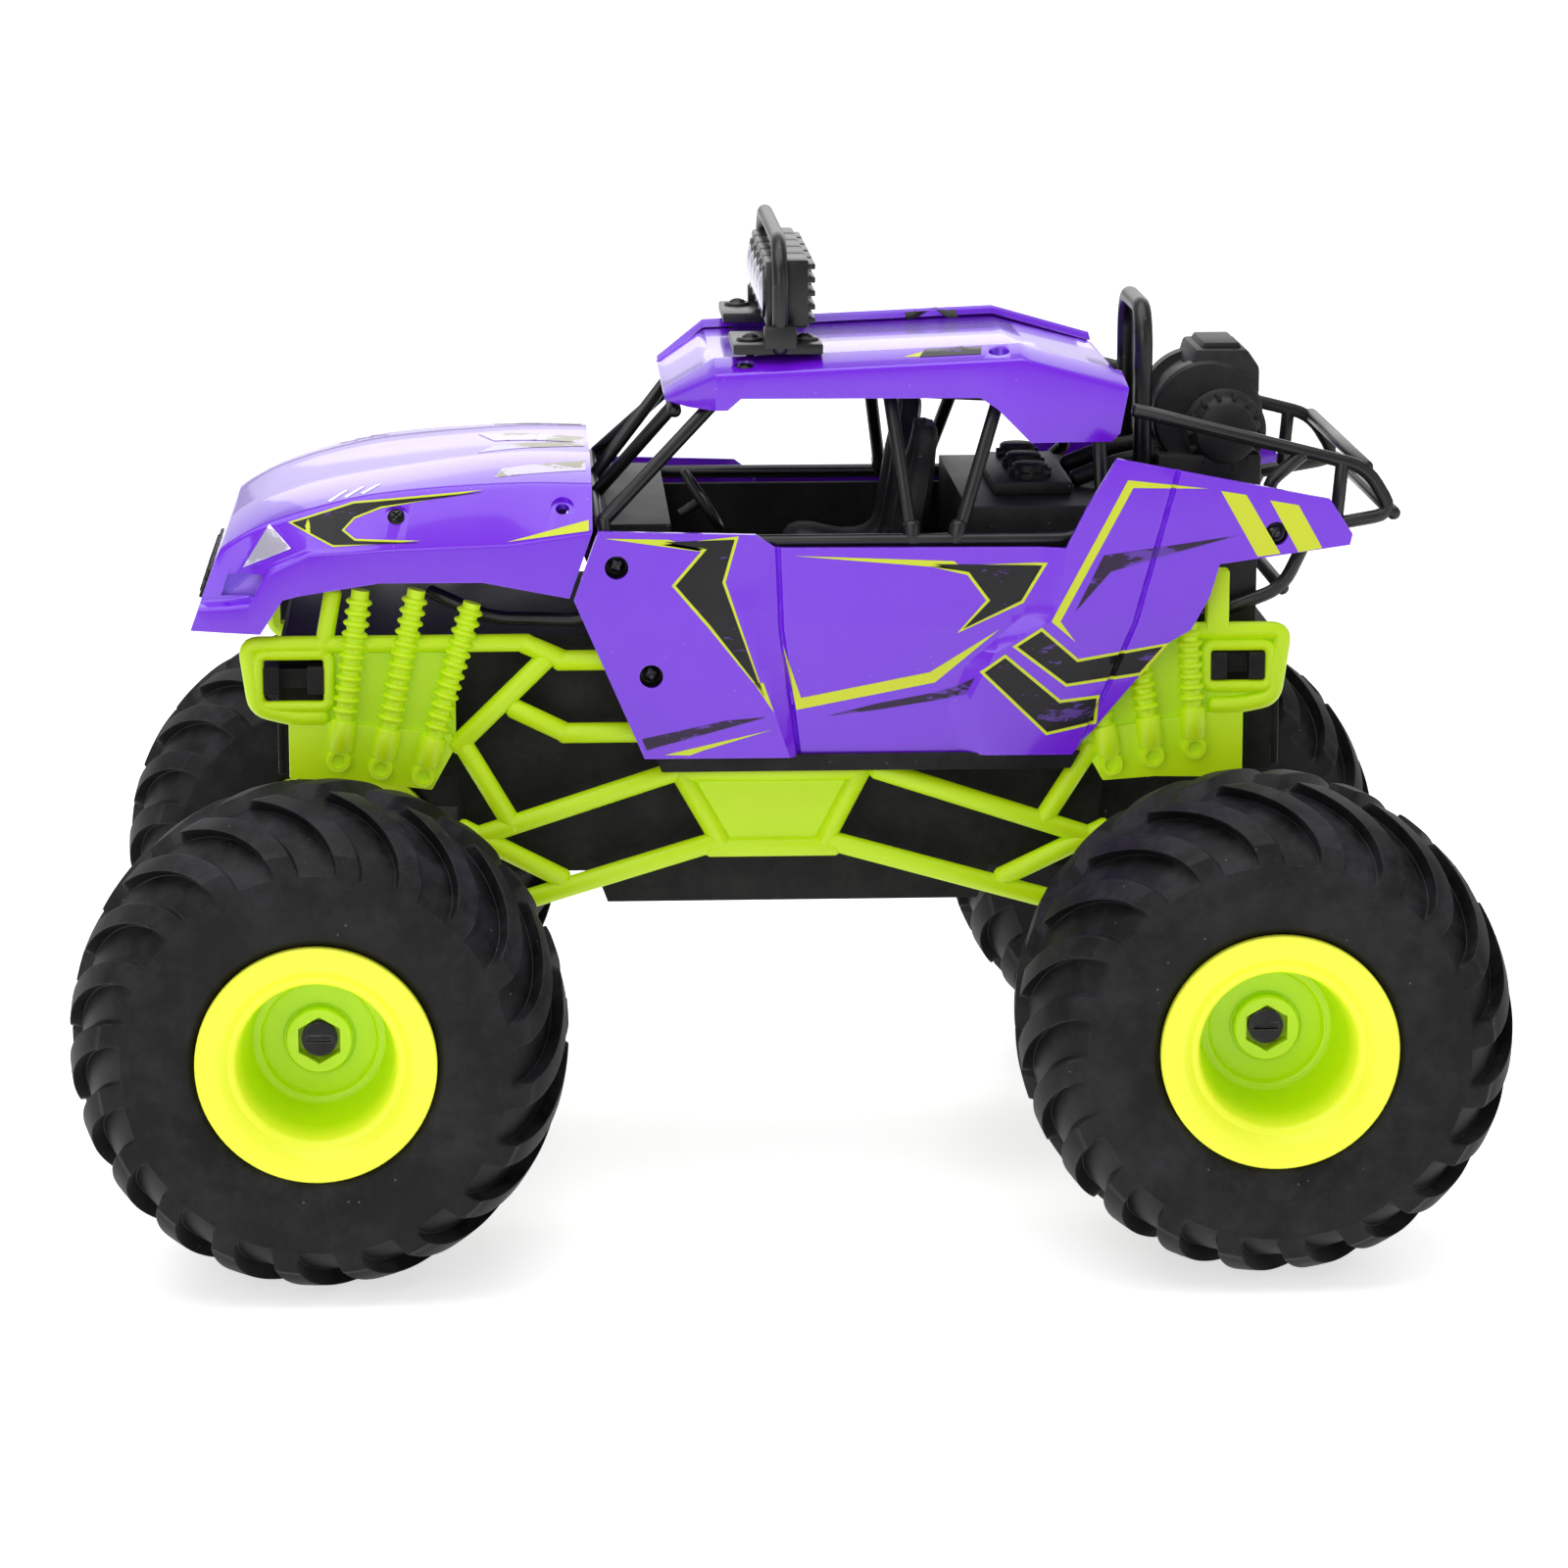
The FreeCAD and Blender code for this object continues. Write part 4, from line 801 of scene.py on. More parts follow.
tree.links.new(bump.outputs["Normal"], skin.inputs["Normal"])
skin.inputs["Subsurface Weight"].default_value = 0.12
skin.inputs["Subsurface Scale"].default_value = 0.003
print("lime turns to yellow over", round((LIP_FULL - LIP_STARTS) / MM, 1), "mm of the axle line")

# %% Rim shape
RIM_PROFILE = [(136.0, 22.6), (136.3, 23.0), (136.3, 27.8), (136.0, 28.1), (133.8, 28.1),
               (132.8, 25), (125.3, 25), (124.3, 21), (110.5, 21), (109.5, 25), (73.2, 25),
               (72.2, 28.1), (69.7, 28.1), (69.7, 22.8), (106.5, 22.8), (106.5, 8.5),
               (98, 8.5), (98, 2.6), (108.9, 2.6), (108.9, 6.0), (112.9, 6.0), (112.9, 7.5),
               (112.5, 7.9), (110, 7.9), (110, 8.4), (110.2, 8.6), (110, 13.2), (110.5, 13.6),
               (111.6, 13.9), (111.9, 14.4), (111.9, 15.6), (113, 16.2), (132.4, 18.6),
               (133.2, 19.0), (133.7, 19.6), (133.9, 20.6), (134.6, 21.2)]
HEX_CORNER, POCKET_MOUTH, RIM_STEPS = 5.7, 6.0, 96


def rim_mesh():
    """The left rim at its place on the axle line, turned about X."""
    bm = bmesh.new()
    turned(bm, RIM_PROFILE, (0, 0, 0), "x", RIM_STEPS)
    # The hexagon pocket: a lining between the round opening and six flats.
    flats, mouth = [], []
    for k in range(RIM_STEPS):
        turn = 2 * math.pi * k / RIM_STEPS
        fold = (turn + math.pi / 6) % (math.pi / 3) - math.pi / 6
        flats.append((HEX_CORNER * math.cos(math.pi / 6) / math.cos(fold), turn))
        mouth.append((POCKET_MOUTH, turn))
    loops = []
    for x, spots in ((108.9, mouth), (112.9, mouth), (112.9, flats), (112.6, flats),
                     (108.9, flats)):
        loops.append([bm.verts.new((x, r * math.cos(t), r * math.sin(t))) for r, t in spots])
    bridge(bm, loops + loops[:1])
    return bm


for end in ("front", "rear"):
    for side_name, side in BOTH_SIDES:
        bm = rim_mesh() if side == 1 else mirrored(rim_mesh())
        bmesh.ops.translate(bm, verts=bm.verts, vec=(0, AXLE_Y[end], AXLE_Z))
        rim = to_piece(f"deep_rim_{end}_{side_name}", bm, WHEEL_BODIES[end, side],
                       rim_neon, [f"rim_{end}_{side_name}"], crisp=38)
print("faces in one rim:", len(rim.data.polygons))

# %% [markdown]
# ## The bonnet shell
# The bonnet is a thin glossy shell over the front frame: flared lips over the
# wheels, a sloping wing face, a sharp shoulder and a slightly hollow top. We could
# push vertices about until it looks right, but a few cross-sections say more. Six
# points per half section are joined along the truck, their corners rounded, and the
# side view then cuts wheel arch, nose and rear edge out of the loft, as a shop would
# trim a vacuum-formed sheet. A second, smaller loft makes it hollow.

# %% Booleans between millimetre bmeshes
def combine(first, second, operation):
    """Boolean of two closed bmeshes, as a new bmesh."""
    holders = []
    for label, source in (("first", first), ("second", second)):
        bmesh.ops.recalc_face_normals(source, faces=source.faces)
        mesh = bpy.data.meshes.new("cut_" + label)
        source.to_mesh(mesh)
        source.free()
        holder = bpy.data.objects.new("cut_" + label, mesh)
        bpy.context.scene.collection.objects.link(holder)
        holders.append(holder)
    cut = holders[0].modifiers.new("cut", "BOOLEAN")
    cut.operation = operation
    cut.object = holders[1]
    cut.solver = "EXACT"
    bpy.context.view_layer.update()
    graph = bpy.context.evaluated_depsgraph_get()
    result = bmesh.new()
    result.from_mesh(holders[0].evaluated_get(graph).to_mesh())
    for holder in holders:
        spare = holder.data
        bpy.data.objects.remove(holder)
        bpy.data.meshes.remove(spare)
    return result


def merge(whole, extra):
    """Add one bmesh to another, and free it."""
    spare = bpy.data.meshes.new("spare")
    extra.to_mesh(spare)
    extra.free()
    whole.from_mesh(spare)
    bpy.data.meshes.remove(spare)


# %% Lofts from half sections
ALL_STRAIGHT = 99


def between(stations, y, smooth_from=ALL_STRAIGHT):
    """The half section at y. Points from smooth_from on follow a curve, not straight runs."""
    ys = sorted(stations)
    if y <= ys[0]:
        return list(stations[ys[0]])
    if y >= ys[-1]:
        return list(stations[ys[-1]])
    i = max(k for k in range(len(ys) - 1) if ys[k] <= y)
    y0, y1 = ys[i], ys[i + 1]
    t = (y - y0) / (y1 - y0)
    made = []
    for k, (a, b) in enumerate(zip(stations[y0], stations[y1])):
        spot = []
        for c in (0, 1):
            if k < smooth_from:
                spot.append(a[c] + (b[c] - a[c]) * t)
                continue
            before = stations[ys[max(i - 1, 0)]][k][c]
            after = stations[ys[min(i + 2, len(ys) - 1)]][k][c]
            span = y1 - y0
            m0 = (b[c] - before) / max(y1 - ys[max(i - 1, 0)], 1e-6) * span
            m1 = (after - a[c]) / max(ys[min(i + 2, len(ys) - 1)] - y0, 1e-6) * span
            t2, t3 = t * t, t * t * t
            spot.append((2 * t3 - 3 * t2 + 1) * a[c] + (t3 - 2 * t2 + t) * m0
                        + (-2 * t3 + 3 * t2) * b[c] + (t3 - t2) * m1)
        made.append(tuple(spot))
    return made


def round_section(points, reaches, steps=3):
    """A polyline in (x, z) with each inner corner replaced by a small arc."""
    flat = [Vector((x, z, 0)) for x, z in points]
    made = [flat[0]]
    for k in range(1, len(flat) - 1):
        to_last, to_next = flat[k - 1] - flat[k], flat[k + 1] - flat[k]
        reach = min(reaches[k - 1], to_last.length * 0.45, to_next.length * 0.45)
        start = flat[k] + to_last.normalized() * reach
        end = flat[k] + to_next.normalized() * reach
        for j in range(steps + 1):
            t = j / steps
            made.append(start * (1 - t) ** 2 + flat[k] * 2 * t * (1 - t) + end * t ** 2)
    made.append(flat[-1])
    return [(p.x, p.y) for p in made]


def loft(stations, rows, reaches, smooth_from=ALL_STRAIGHT):
    """A closed solid through mirrored half sections, with a flat underside."""
    bm = bmesh.new()
    rings = []
    for y in rows:
        half = round_section(between(stations, y, smooth_from), reaches)
        ring = half + [(-x, z) for x, z in half[-2::-1]]
        rings.append([bm.verts.new((x, y, z)) for x, z in ring])
    bridge(bm, rings)
    bm.faces.new(rings[0])
    bm.faces.new(rings[-1][::-1])
    bmesh.ops.recalc_face_normals(bm, faces=bm.faces)
    return bm


def steps_between(low, high, step, extra=()):
    """Evenly spaced stations with a few extra ones, sorted."""
    count = max(1, round((high - low) / step))
    values = {round(low + (high - low) * k / count, 3) for k in range(count + 1)}
    return sorted(values | {float(v) for v in extra})


# %% Bonnet sections
HOOD_STATIONS = {
    -146: [(57, 136), (57, 152.6), (51.5, 153.2), (48.4, 159), (26, 161), (0, 161)],
    -135: [(58.6, 136), (58.6, 153.4), (52.8, 154), (50.4, 167.4), (26, 170.3), (0, 169.8)],
    -129.5: [(59, 136), (59, 154.0), (53.2, 154.8), (51, 170.6), (26, 173.5), (0, 172.9)],
    -124.5: [(59.3, 136), (59.3, 162.0), (55.2, 163), (51.4, 172.9), (26, 175.6), (0, 174.7)],
    -115: [(59.6, 136), (59.6, 166.4), (58.0, 167), (51.8, 176), (26, 178.6), (0, 177.5)],
    -98: [(60, 136), (60, 167), (59.5, 167.9), (52, 179.8), (26, 181.8), (0, 180.8)],
    -66: [(60.5, 136), (60.5, 168.2), (60, 169.1), (52, 182), (26, 185), (0, 184.4)],
    -40: [(60.5, 136), (60.5, 171.8), (60, 172.7), (52, 181.6), (26, 184.8), (0, 184)]}
HOOD_REACHES = [0.8, 0.9, 1.4, 9.0]
HOOD_OUTLINE = [(-143.9, 147.4), (-127, 146.6), (-121.4, 155), (-117.5, 156), (-98, 159.1),
                (-73, 159.1), (-52, 155), (-46.3, 171.4), (-46.3, 195), (-128, 195),
                (-135.5, 168.9), (-138.1, 163.2)]
HOOD_HOLLOW = [(-141.2, 130), (-40, 130), (-40, 192), (-128, 192), (-133, 168.9),
               (-135.6, 163.2)]
HOOD_CURVES_FROM = 3
SHELL_WALL = 2.0


def shrunk(stations, wall):
    """The same sections one wall thickness further in, and deeper at the foot."""
    return {y: [(max(x - wall * 0.95, 0), z - (4 if k == 0 else wall * (0.4 if k < 2 else 1)))
                for k, (x, z) in enumerate(points)] for y, points in stations.items()}


rows = steps_between(-147, -39, 2.4, (-135, -129.5, -124.5, -115))
outer = loft(HOOD_STATIONS, rows, HOOD_REACHES, HOOD_CURVES_FROM)
cutter = bmesh.new()
plate(cutter, HOOD_OUTLINE, -70, 70)
solid = combine(outer, cutter, "INTERSECT")
inner = loft(shrunk(HOOD_STATIONS, SHELL_WALL), rows, HOOD_REACHES, HOOD_CURVES_FROM)
cutter = bmesh.new()
plate(cutter, HOOD_HOLLOW, -70, 70)
hollow = combine(inner, cutter, "INTERSECT")
hood = combine(solid, hollow, "DIFFERENCE")
print("bonnet faces after trimming:", len(hood.faces))

# %% Lamp pockets, screw holes and the nose opening
FOG_POCKET = [(-134.8, 160.4), (-126.2, 160.4), (-128.4, 155.2), (-136.6, 155.2)]
# The pocket's floor keeps clear of the shoulder's own corners at 50 and 51, because a
# boolean fails where two faces share a plane.
POCKET_FLOOR_X = 50.37
HOOD_HOLES = [(-93.7, 57.5, 177), (-53.5, 57.5, 178.5)]
HOLE_LEAN_DEG = 40
for side in (1, -1):
    pocket = bmesh.new()
    plate(pocket, FOG_POCKET, side * POCKET_FLOOR_X, side * 60)
    hood = combine(hood, pocket, "DIFFERENCE")
    for y, x, z in HOOD_HOLES:
        drill = bmesh.new()
        turned(drill, [(-9, 0), (-9, 1.7), (-2.9, 1.7), (-2.9, 2.9), (9, 2.9), (9, 0)],
               (0, 0, 0), "z", 24)
        lean = Matrix.Rotation(math.radians(side * HOLE_LEAN_DEG), 4, "Y")
        drill.transform(Matrix.Translation((side * x, y, z)) @ lean)
        hood = combine(hood, drill, "DIFFERENCE")
soften(hood, 0.55, angle=38, segments=2)
hood_piece = to_piece("bonnet_shell", hood, "chassis", shell_purple,
                      ["hood_shell"], crisp=40)
print("bonnet faces:", len(hood_piece.data.polygons))

# %% [markdown]
# ## The doors
# A door is one moulding, a millimetre and a half thick. Seen from the side it is a
# flat outline with screw holes, and its relief is shallow: a proud front plate, a
# sunken middle, a proud rear plate, one long crease and two engraved lines. So we
# write the relief as one function of place, cut the flat outline along the lines
# where that relief bends, drape it over the function and give it thickness.
# Stickers use the same function, which is why they fit.

# %% Relief of the door
PANEL_OUTLINE = [(-45, 171.7), (-6.9, 170.6), (-1.8, 167), (68.6, 166.6), (73.5, 176.4),
                 (80.8, 188.4), (132.9, 178.2), (138.6, 169.6), (138, 166.9), (106.2, 162.4),
                 (103.9, 154.4), (99.4, 146.2), (93.6, 142.8), (73.9, 118.8), (70.8, 115),
                 (-34, 115.2), (-51, 154.8)]
PANEL_HOLES = [(-40.6, 162.8), (-32.3, 135.8), (119.9, 169.8)]
PLATE_EDGE = [(-7.5, 171), (-13.6, 159.2), (-2.2, 126.2), (1.5, 115)]
FRONT_GROOVE = [(-1.4, 167), (-0.6, 147), (2.5, 124.8), (3.8, 115)]
REAR_FOOT = [(62.5, 167), (58.5, 150), (44.5, 137.5), (40.5, 127), (44, 115)]
REAR_EDGE = [(69.5, 168), (66, 149.5), (51.5, 140.8), (45.5, 129), (50, 115)]
REAR_GROOVE = [(95.8, 185.4), (85.7, 148), (73.3, 117.8)]
SUNK, GROOVE_DEPTH, GROOVE_HALF, GROOVE_LEAN = 2.2, 0.9, 0.75, 0.95
DOOR_FACE_X, DOOR_WALL = 62.3, 1.5
# Above SHOULDER_Z the door curves in; below its crease it is tucked in by these slopes.
SHOULDER_Z, SHOULDER_CURVE, FRONT_TUCK, REAR_TUCK = 171, 0.0022, 0.035, 0.075


def at_height(line, z):
    """The y of a falling polyline at height z."""
    line = sorted(line, key=lambda p: p[1])
    if z <= line[0][1]:
        return line[0][0]
    for (y0, z0), (y1, z1) in zip(line, line[1:]):
        if z <= z1:
            return y0 + (y1 - y0) * (z - z0) / (z1 - z0)
    return line[-1][0]


def groove_cut(line, y, z):
    """Depth of an engraved line at (y, z), 0 away from it."""
    if not min(p[1] for p in line) - 1 <= z <= max(p[1] for p in line) + 1:
        return 0.0
    away = abs(y - at_height(line, z)) * GROOVE_LEAN
    return GROOVE_DEPTH * max(0.0, 1 - (away / GROOVE_HALF) ** 2)


def door_x(y, z):
    """How far out the door's face is at (y, z)."""
    x = DOOR_FACE_X - SHOULDER_CURVE * max(0.0, z - SHOULDER_Z) ** 2
    crease = 147 + max(0.0, y - 72) * 0.09
    if y < at_height(FRONT_GROOVE, z):
        crease = 155 - (y + 50) * 0.07
        x -= max(0.0, crease - z) * FRONT_TUCK
    else:
        x -= max(0.0, crease - z) * REAR_TUCK
    foot, edge = at_height(FRONT_GROOVE, z), at_height(PLATE_EDGE, z)
    on_front = min(1.0, max(0.0, (foot - y) / max(foot - edge, 0.5)))
    foot, edge = at_height(REAR_FOOT, z), at_height(REAR_EDGE, z)
    on_rear = min(1.0, max(0.0, (y - foot) / max(edge - foot, 0.5)))
    x -= SUNK * (1 - on_front) * (1 - on_rear)
    return x - groove_cut(FRONT_GROOVE, y, z) - groove_cut(REAR_GROOVE, y, z)


print("door face in mm from the middle plane:", {z: round(door_x(30, z), 1)
                                                 for z in (120, 140, 160)})


# %% Drape a flat outline over a relief
def cut_along(bm, line, offsets, reach=2.5):
    """Cut the flat mesh along a polyline, and again beside it at each offset."""
    for (y0, z0), (y1, z1) in zip(line, line[1:]):
        run = Vector((0, y1 - y0, z1 - z0))
        normal = Vector((0, -run.z, run.y)).normalized()
        low_z, high_z = min(z0, z1) - 0.5, max(z0, z1) + 0.5
        low_y, high_y = min(y0, y1) - reach, max(y0, y1) + reach
        for offset in offsets:
            faces = []
            for f in bm.faces:
                c = f.calc_center_median()
                size = max((v.co - c).length for v in f.verts)
                if (low_z - size < c.z < high_z + size and low_y - size < c.y < high_y + size
                        and abs((c - Vector((0, y0, z0))).dot(normal)) < size + reach):
                    faces.append(f)
            near = set(faces)
            geom = list(near) + list({e for f in near for e in f.edges}) \
                + list({v for f in near for v in f.verts})
            bmesh.ops.bisect_plane(bm, geom=geom, dist=0.002, plane_no=normal,
                                   plane_co=Vector((0, y0, z0)) + normal * offset)


def flat_sheet(outline, holes=(), step=3.0, hole_radius=2.9):
    """A flat mesh in the yz plane, filled inside the outline and cut into a grid."""
    loops = [[Vector((0, y, z)) for y, z in outline]]
    for y, z in holes:
        loops.append([Vector((0, y + hole_radius * math.cos(k * math.pi / 12),
                              z + hole_radius * math.sin(k * math.pi / 12)))
                      for k in range(24)])
    bm = bmesh.new()
    verts = [bm.verts.new(p) for loop in loops for p in loop]
    for triangle in tessellate_polygon(loops):
        if len({verts[i] for i in triangle}) == 3:
            bm.faces.new([verts[i] for i in triangle])
    ys, zs = [p[0] for p in outline], [p[1] for p in outline]
    for axis, low, high in ((1, min(ys), max(ys)), (2, min(zs), max(zs))):
        for value in steps_between(low, high, step)[1:-1]:
            spot, normal = [0, 0, 0], [0, 0, 0]
            spot[axis], normal[axis] = value, 1
            bmesh.ops.bisect_plane(bm, geom=bm.verts[:] + bm.edges[:] + bm.faces[:],
                                   dist=0.002, plane_co=spot, plane_no=normal)
    return bm


def drape(bm, surface, thickness, lift=0.0, axis=0):
    """Press a flat mesh onto surface(...) and give it thickness behind its face."""
    for v in bm.verts:
        others = [v.co[k] for k in range(3) if k != axis]
        v.co[axis] = surface(*others) + lift
    grown = bmesh.ops.extrude_face_region(bm, geom=bm.faces[:])
    for v in grown["geom"]:
        if isinstance(v, bmesh.types.BMVert):
            v.co[axis] -= thickness
    bmesh.ops.recalc_face_normals(bm, faces=bm.faces)
    return bm


# %% Both doors
GROOVE_CUTS = (-GROOVE_HALF, -0.4, 0, 0.4, GROOVE_HALF)
DOOR_CREASES = [(FRONT_GROOVE, GROOVE_CUTS), (REAR_GROOVE, GROOVE_CUTS), (PLATE_EDGE, (0,)),
                (REAR_FOOT, (0,)), (REAR_EDGE, (0,)),
                ([(-1, 147), (72, 147), (104, 149.9)], (0,)), ([(-51, 155.1), (-6, 152)], (0,))]
door = flat_sheet(PANEL_OUTLINE, PANEL_HOLES, step=3.2)
for line, offsets in DOOR_CREASES:
    cut_along(door, line, offsets)
drape(door, door_x, DOOR_WALL)
soften(door, 0.5, angle=55, segments=2)
door_piece = to_pair("door_shell", door, "chassis", shell_purple,
                     "side_panel", crisp=24)
print("faces in one door:", len(door_piece.data.polygons))

# %% [markdown]
# ## The roof
# The roof is the same kind of shell as the bonnet: two raised rails with a sunken
# middle, a nose that is chamfered in plan, and cheeks that drop behind the cabin.

# %% Roof shell
ROOF_STATIONS = {
    -28: [(36, 186), (36, 200.6), (30, 202.4), (28.6, 200.8), (0, 200.8)],
    -16: [(49.4, 184), (50, 207.8), (38, 210.8), (36.6, 208.3), (0, 208.3)],
    59: [(49.4, 182), (50, 211.2), (38, 214), (36.6, 211.2), (0, 211.2)],
    86: [(47.4, 182), (48, 203.4), (38, 206.4), (36.6, 204), (0, 204)]}
ROOF_REACHES = [1.0, 0.9, 0.7]
ROOF_OUTLINE = [(-28, 200), (-22.5, 199.1), (-13.1, 199.1), (-9.8, 202), (48.6, 201.8),
                (52.8, 199), (61.1, 190.6), (81, 190.6), (83.1, 192.6), (85.1, 203.6),
                (82, 216), (-28, 216)]
rows = steps_between(-28, 86, 2.5, (-16, 59))
solid_cut, hollow_cut = bmesh.new(), bmesh.new()
plate(solid_cut, ROOF_OUTLINE, -60, 60)
plate(hollow_cut, [(-40, 150), (95, 150), (95, 230), (-40, 230)], -60, 60)
solid = combine(loft(ROOF_STATIONS, rows, ROOF_REACHES), solid_cut, "INTERSECT")
rows_long = [-30] + rows[1:-1] + [88]
hollow = combine(loft(shrunk(ROOF_STATIONS, SHELL_WALL), rows_long, ROOF_REACHES), hollow_cut,
                 "INTERSECT")
roof = combine(solid, hollow, "DIFFERENCE")
ROOF_HOLES = [(-8.6, 209.6), (53.5, 212.6)]
for side in (1, -1):
    for y, z in ROOF_HOLES:
        drill = bmesh.new()
        turned(drill, [(-9, 0), (-9, 1.6), (-1.2, 1.6), (-1.2, 2.6), (9, 2.6), (9, 0)],
               (side * 44, y, z), "z", 24)
        roof = combine(roof, drill, "DIFFERENCE")
soften(roof, 0.5, angle=38, segments=2)
roof_piece = to_piece("roof_shell", roof, "chassis", shell_purple,
                      ["roof_panel"], crisp=36)
print("faces in the roof:", len(roof_piece.data.polygons))

# %% [markdown]
# ## Stickers
# The colour graphics are printed vinyl, a tenth of a millimetre thick. Painting them
# in a shader would need dozens of masks, and their edges would never be sharp, so
# each sticker is a real sheet: a flat outline, draped over the same relief as the
# panel under it, with a slightly wider yellow sheet below for its border. The black
# ones are printed with a torn, splashed look, which is a noise mask in their finish.
# Words are left out: the shapes are plain shards, stripes and chevrons.

# %% Group: splashed print
splash_group, splash_in, splash_out = new_group(
    "Splashed print",
    [("Ink", COLOUR, (0, 0, 0, 1)), ("Gap", COLOUR, (0.2, 0.1, 0.6, 1)),
     ("Amount", FLOAT, 0.3)],
    [("Colour", COLOUR)])
where = add(splash_group, "TexCoord")
leaning = add(splash_group, "Mapping", {"Vector": where.outputs["Object"],
                                        "Rotation": (0.6, 0, 0), "Scale": (1, 1, 3.5)})
blots = add(splash_group, "TexNoise", {
    "Vector": leaning.outputs["Vector"], "Scale": 60.0, "Detail": 9.0, "Roughness": 0.72})
share = add(splash_group, "Math", {0: 1.0, 1: splash_in.outputs["Amount"]},
            operation="SUBTRACT")
edge_low = add(splash_group, "MapRange", {
    "Value": share.outputs[0], "From Min": 0.0, "From Max": 1.0,
    "To Min": 0.40, "To Max": 0.74})
torn = add(splash_group, "Math", {
    0: blots.outputs["Fac"], 1: edge_low.outputs["Result"]}, operation="GREATER_THAN")
printed = blend(splash_group, torn.outputs[0], splash_in.outputs["Ink"],
                splash_in.outputs["Gap"])
splash_group.links.new(printed, splash_out.inputs["Colour"])
print(splash_group.name, "has", len(splash_group.nodes), "nodes")


# %% Printed films
VINYL_ROUGHNESS = 0.28


def vinyl(name, ink, gap=None, amount=0.0):
    """Glossy printed film, splashed with the gap colour where amount is above 0."""
    made = moulded(name, ink, VINYL_ROUGHNESS, grain=700, depth=0.01, tone=0.03, dust_and_sheen=0.02,
                   specks=0.1, coat=0.1, gloss_change=0.05, shine=0.25)
    if gap:
        tree = made.node_tree
        print_node = place_group(tree, splash_group, {"Ink": ink, "Gap": gap,
                                                      "Amount": amount})
        tone_node = next(n for n in tree.nodes if n.type == "GROUP"
                         and n.node_tree == tone_group)
        tree.links.new(print_node.outputs["Colour"], tone_node.inputs["Colour"])
    return made


vinyl_black = vinyl("vinyl_black", rgba(22, 20, 24), rgba(86, 56, 140), 0.42)
vinyl_yellow = vinyl("vinyl_yellow", rgba(212, 222, 52))
vinyl_smoke = vinyl("vinyl_smoke", rgba(46, 26, 62), rgba(98, 60, 168), 0.62)
vinyl_white = vinyl("vinyl_white", rgba(238, 234, 248))
vinyl_olive = vinyl("vinyl_olive", rgba(150, 148, 120), rgba(214, 206, 232), 0.7)
print("films:", sorted(m.name for m in bpy.data.materials if m.name.startswith("vinyl")))

# %% Sheets that follow a relief
def grown(outline, width):
    """The outline pushed outwards by width, with its sharp corners kept short."""
    area = sum(a[0] * b[1] - b[0] * a[1] for a, b in zip(outline, outline[1:] + outline[:1]))
    turn = 1 if area > 0 else -1
    made, count = [], len(outline)
    for i in range(count):
        spot = Vector(outline[i])
        to_next = (Vector(outline[(i + 1) % count]) - spot).normalized()
        from_last = (spot - Vector(outline[i - 1])).normalized()
        out_a = Vector((from_last.y, -from_last.x)) * turn
        out_b = Vector((to_next.y, -to_next.x)) * turn
        middle = out_a + out_b
        if middle.length < 0.25:
            middle = out_a - to_next
        middle.normalize()
        reach = width / max(middle.dot(out_a), 0.42)
        made.append(tuple(spot + middle * reach))
    return made


# A film's back stays this far above the panel, and its face lies at one of four
# levels, so that overlapping films never share a plane.
FILM_GAP = 0.02
BORDER_LIFT, TIP_LIFT, STREAK_LIFT, INK_LIFT = 0.09, 0.1, 0.12, 0.15


def sheets(outlines, surface, lift, axis=0, step=2.5, creases=()):
    """Thin films draped on a relief, all in one bmesh."""
    whole = bmesh.new()
    for outline in outlines:
        bm = flat_sheet(outline, step=step)
        for line, offsets in creases:
            cut_along(bm, line, offsets)
        if axis == 2:
            for v in bm.verts:
                v.co = Vector((v.co.y, v.co.z, 0))
        drape(bm, surface, lift - FILM_GAP, lift, axis)
        merge(whole, bm)
    return whole


# %% Door graphics
FRONT_SHARD = [(-29, 169), (-12, 169.5), (-15, 159), (-5.5, 132), (-18, 148.5), (-26.3, 158.3),
               (-18.7, 167.2)]
FRONT_TIP = [(-43.5, 170), (-28, 169.6), (-19.7, 167.2), (-21, 166.7)]
FRONT_TAIL = [(-7.4, 134), (-5, 134), (-2.4, 126.5)]
MIDDLE_SHARD = [(36.5, 162.7), (63, 162.2), (58, 153.5), (43.8, 146.6), (50.4, 153.6),
                (48, 156.8), (45.2, 160.6)]
MIDDLE_TIP = [(2.5, 165), (41.5, 163.4), (44.5, 160.8), (36.5, 162)]
MIDDLE_LINE = [(-0.2, 143), (4.3, 129.6), (35.8, 135.8), (52.7, 146.4), (37.1, 133.2),
               (3.2, 126.6)]
MIDDLE_STREAK = [(11, 125), (23, 128), (37.6, 130.7), (42.7, 132.4), (46.6, 134.5),
                 (44.5, 130.4), (39, 129), (24, 126.6)]
LOW_STREAK = [(-34.6, 120.2), (-14.2, 124.6), (-4.4, 125.4), (-13.8, 122.8), (-33.6, 117.4)]
LOW_PALE = [(-29, 116.2), (-3, 122.2), (-19.8, 117.2), (-23, 116)]
LOW_CHEVRON = [(49, 136), (54, 139.6), (67.5, 128.1), (76.6, 129.2), (76, 123.4),
               (64.6, 120.8)]
HIGH_CHEVRON = [(57, 142.4), (62.8, 146.2), (71.7, 138.4), (92.6, 142.1), (87, 135.6),
                (69.2, 133)]
CORNER_LINE = [(103, 181), (83.5, 183.2), (65.2, 148.6), (71.2, 143.4), (67.4, 148.6),
               (84.8, 181.3)]
SWOOSH = [(71, 151), (77.8, 164.8), (90.8, 166.6), (110, 169.4), (91.6, 164.4),
          (79.5, 160.8)]
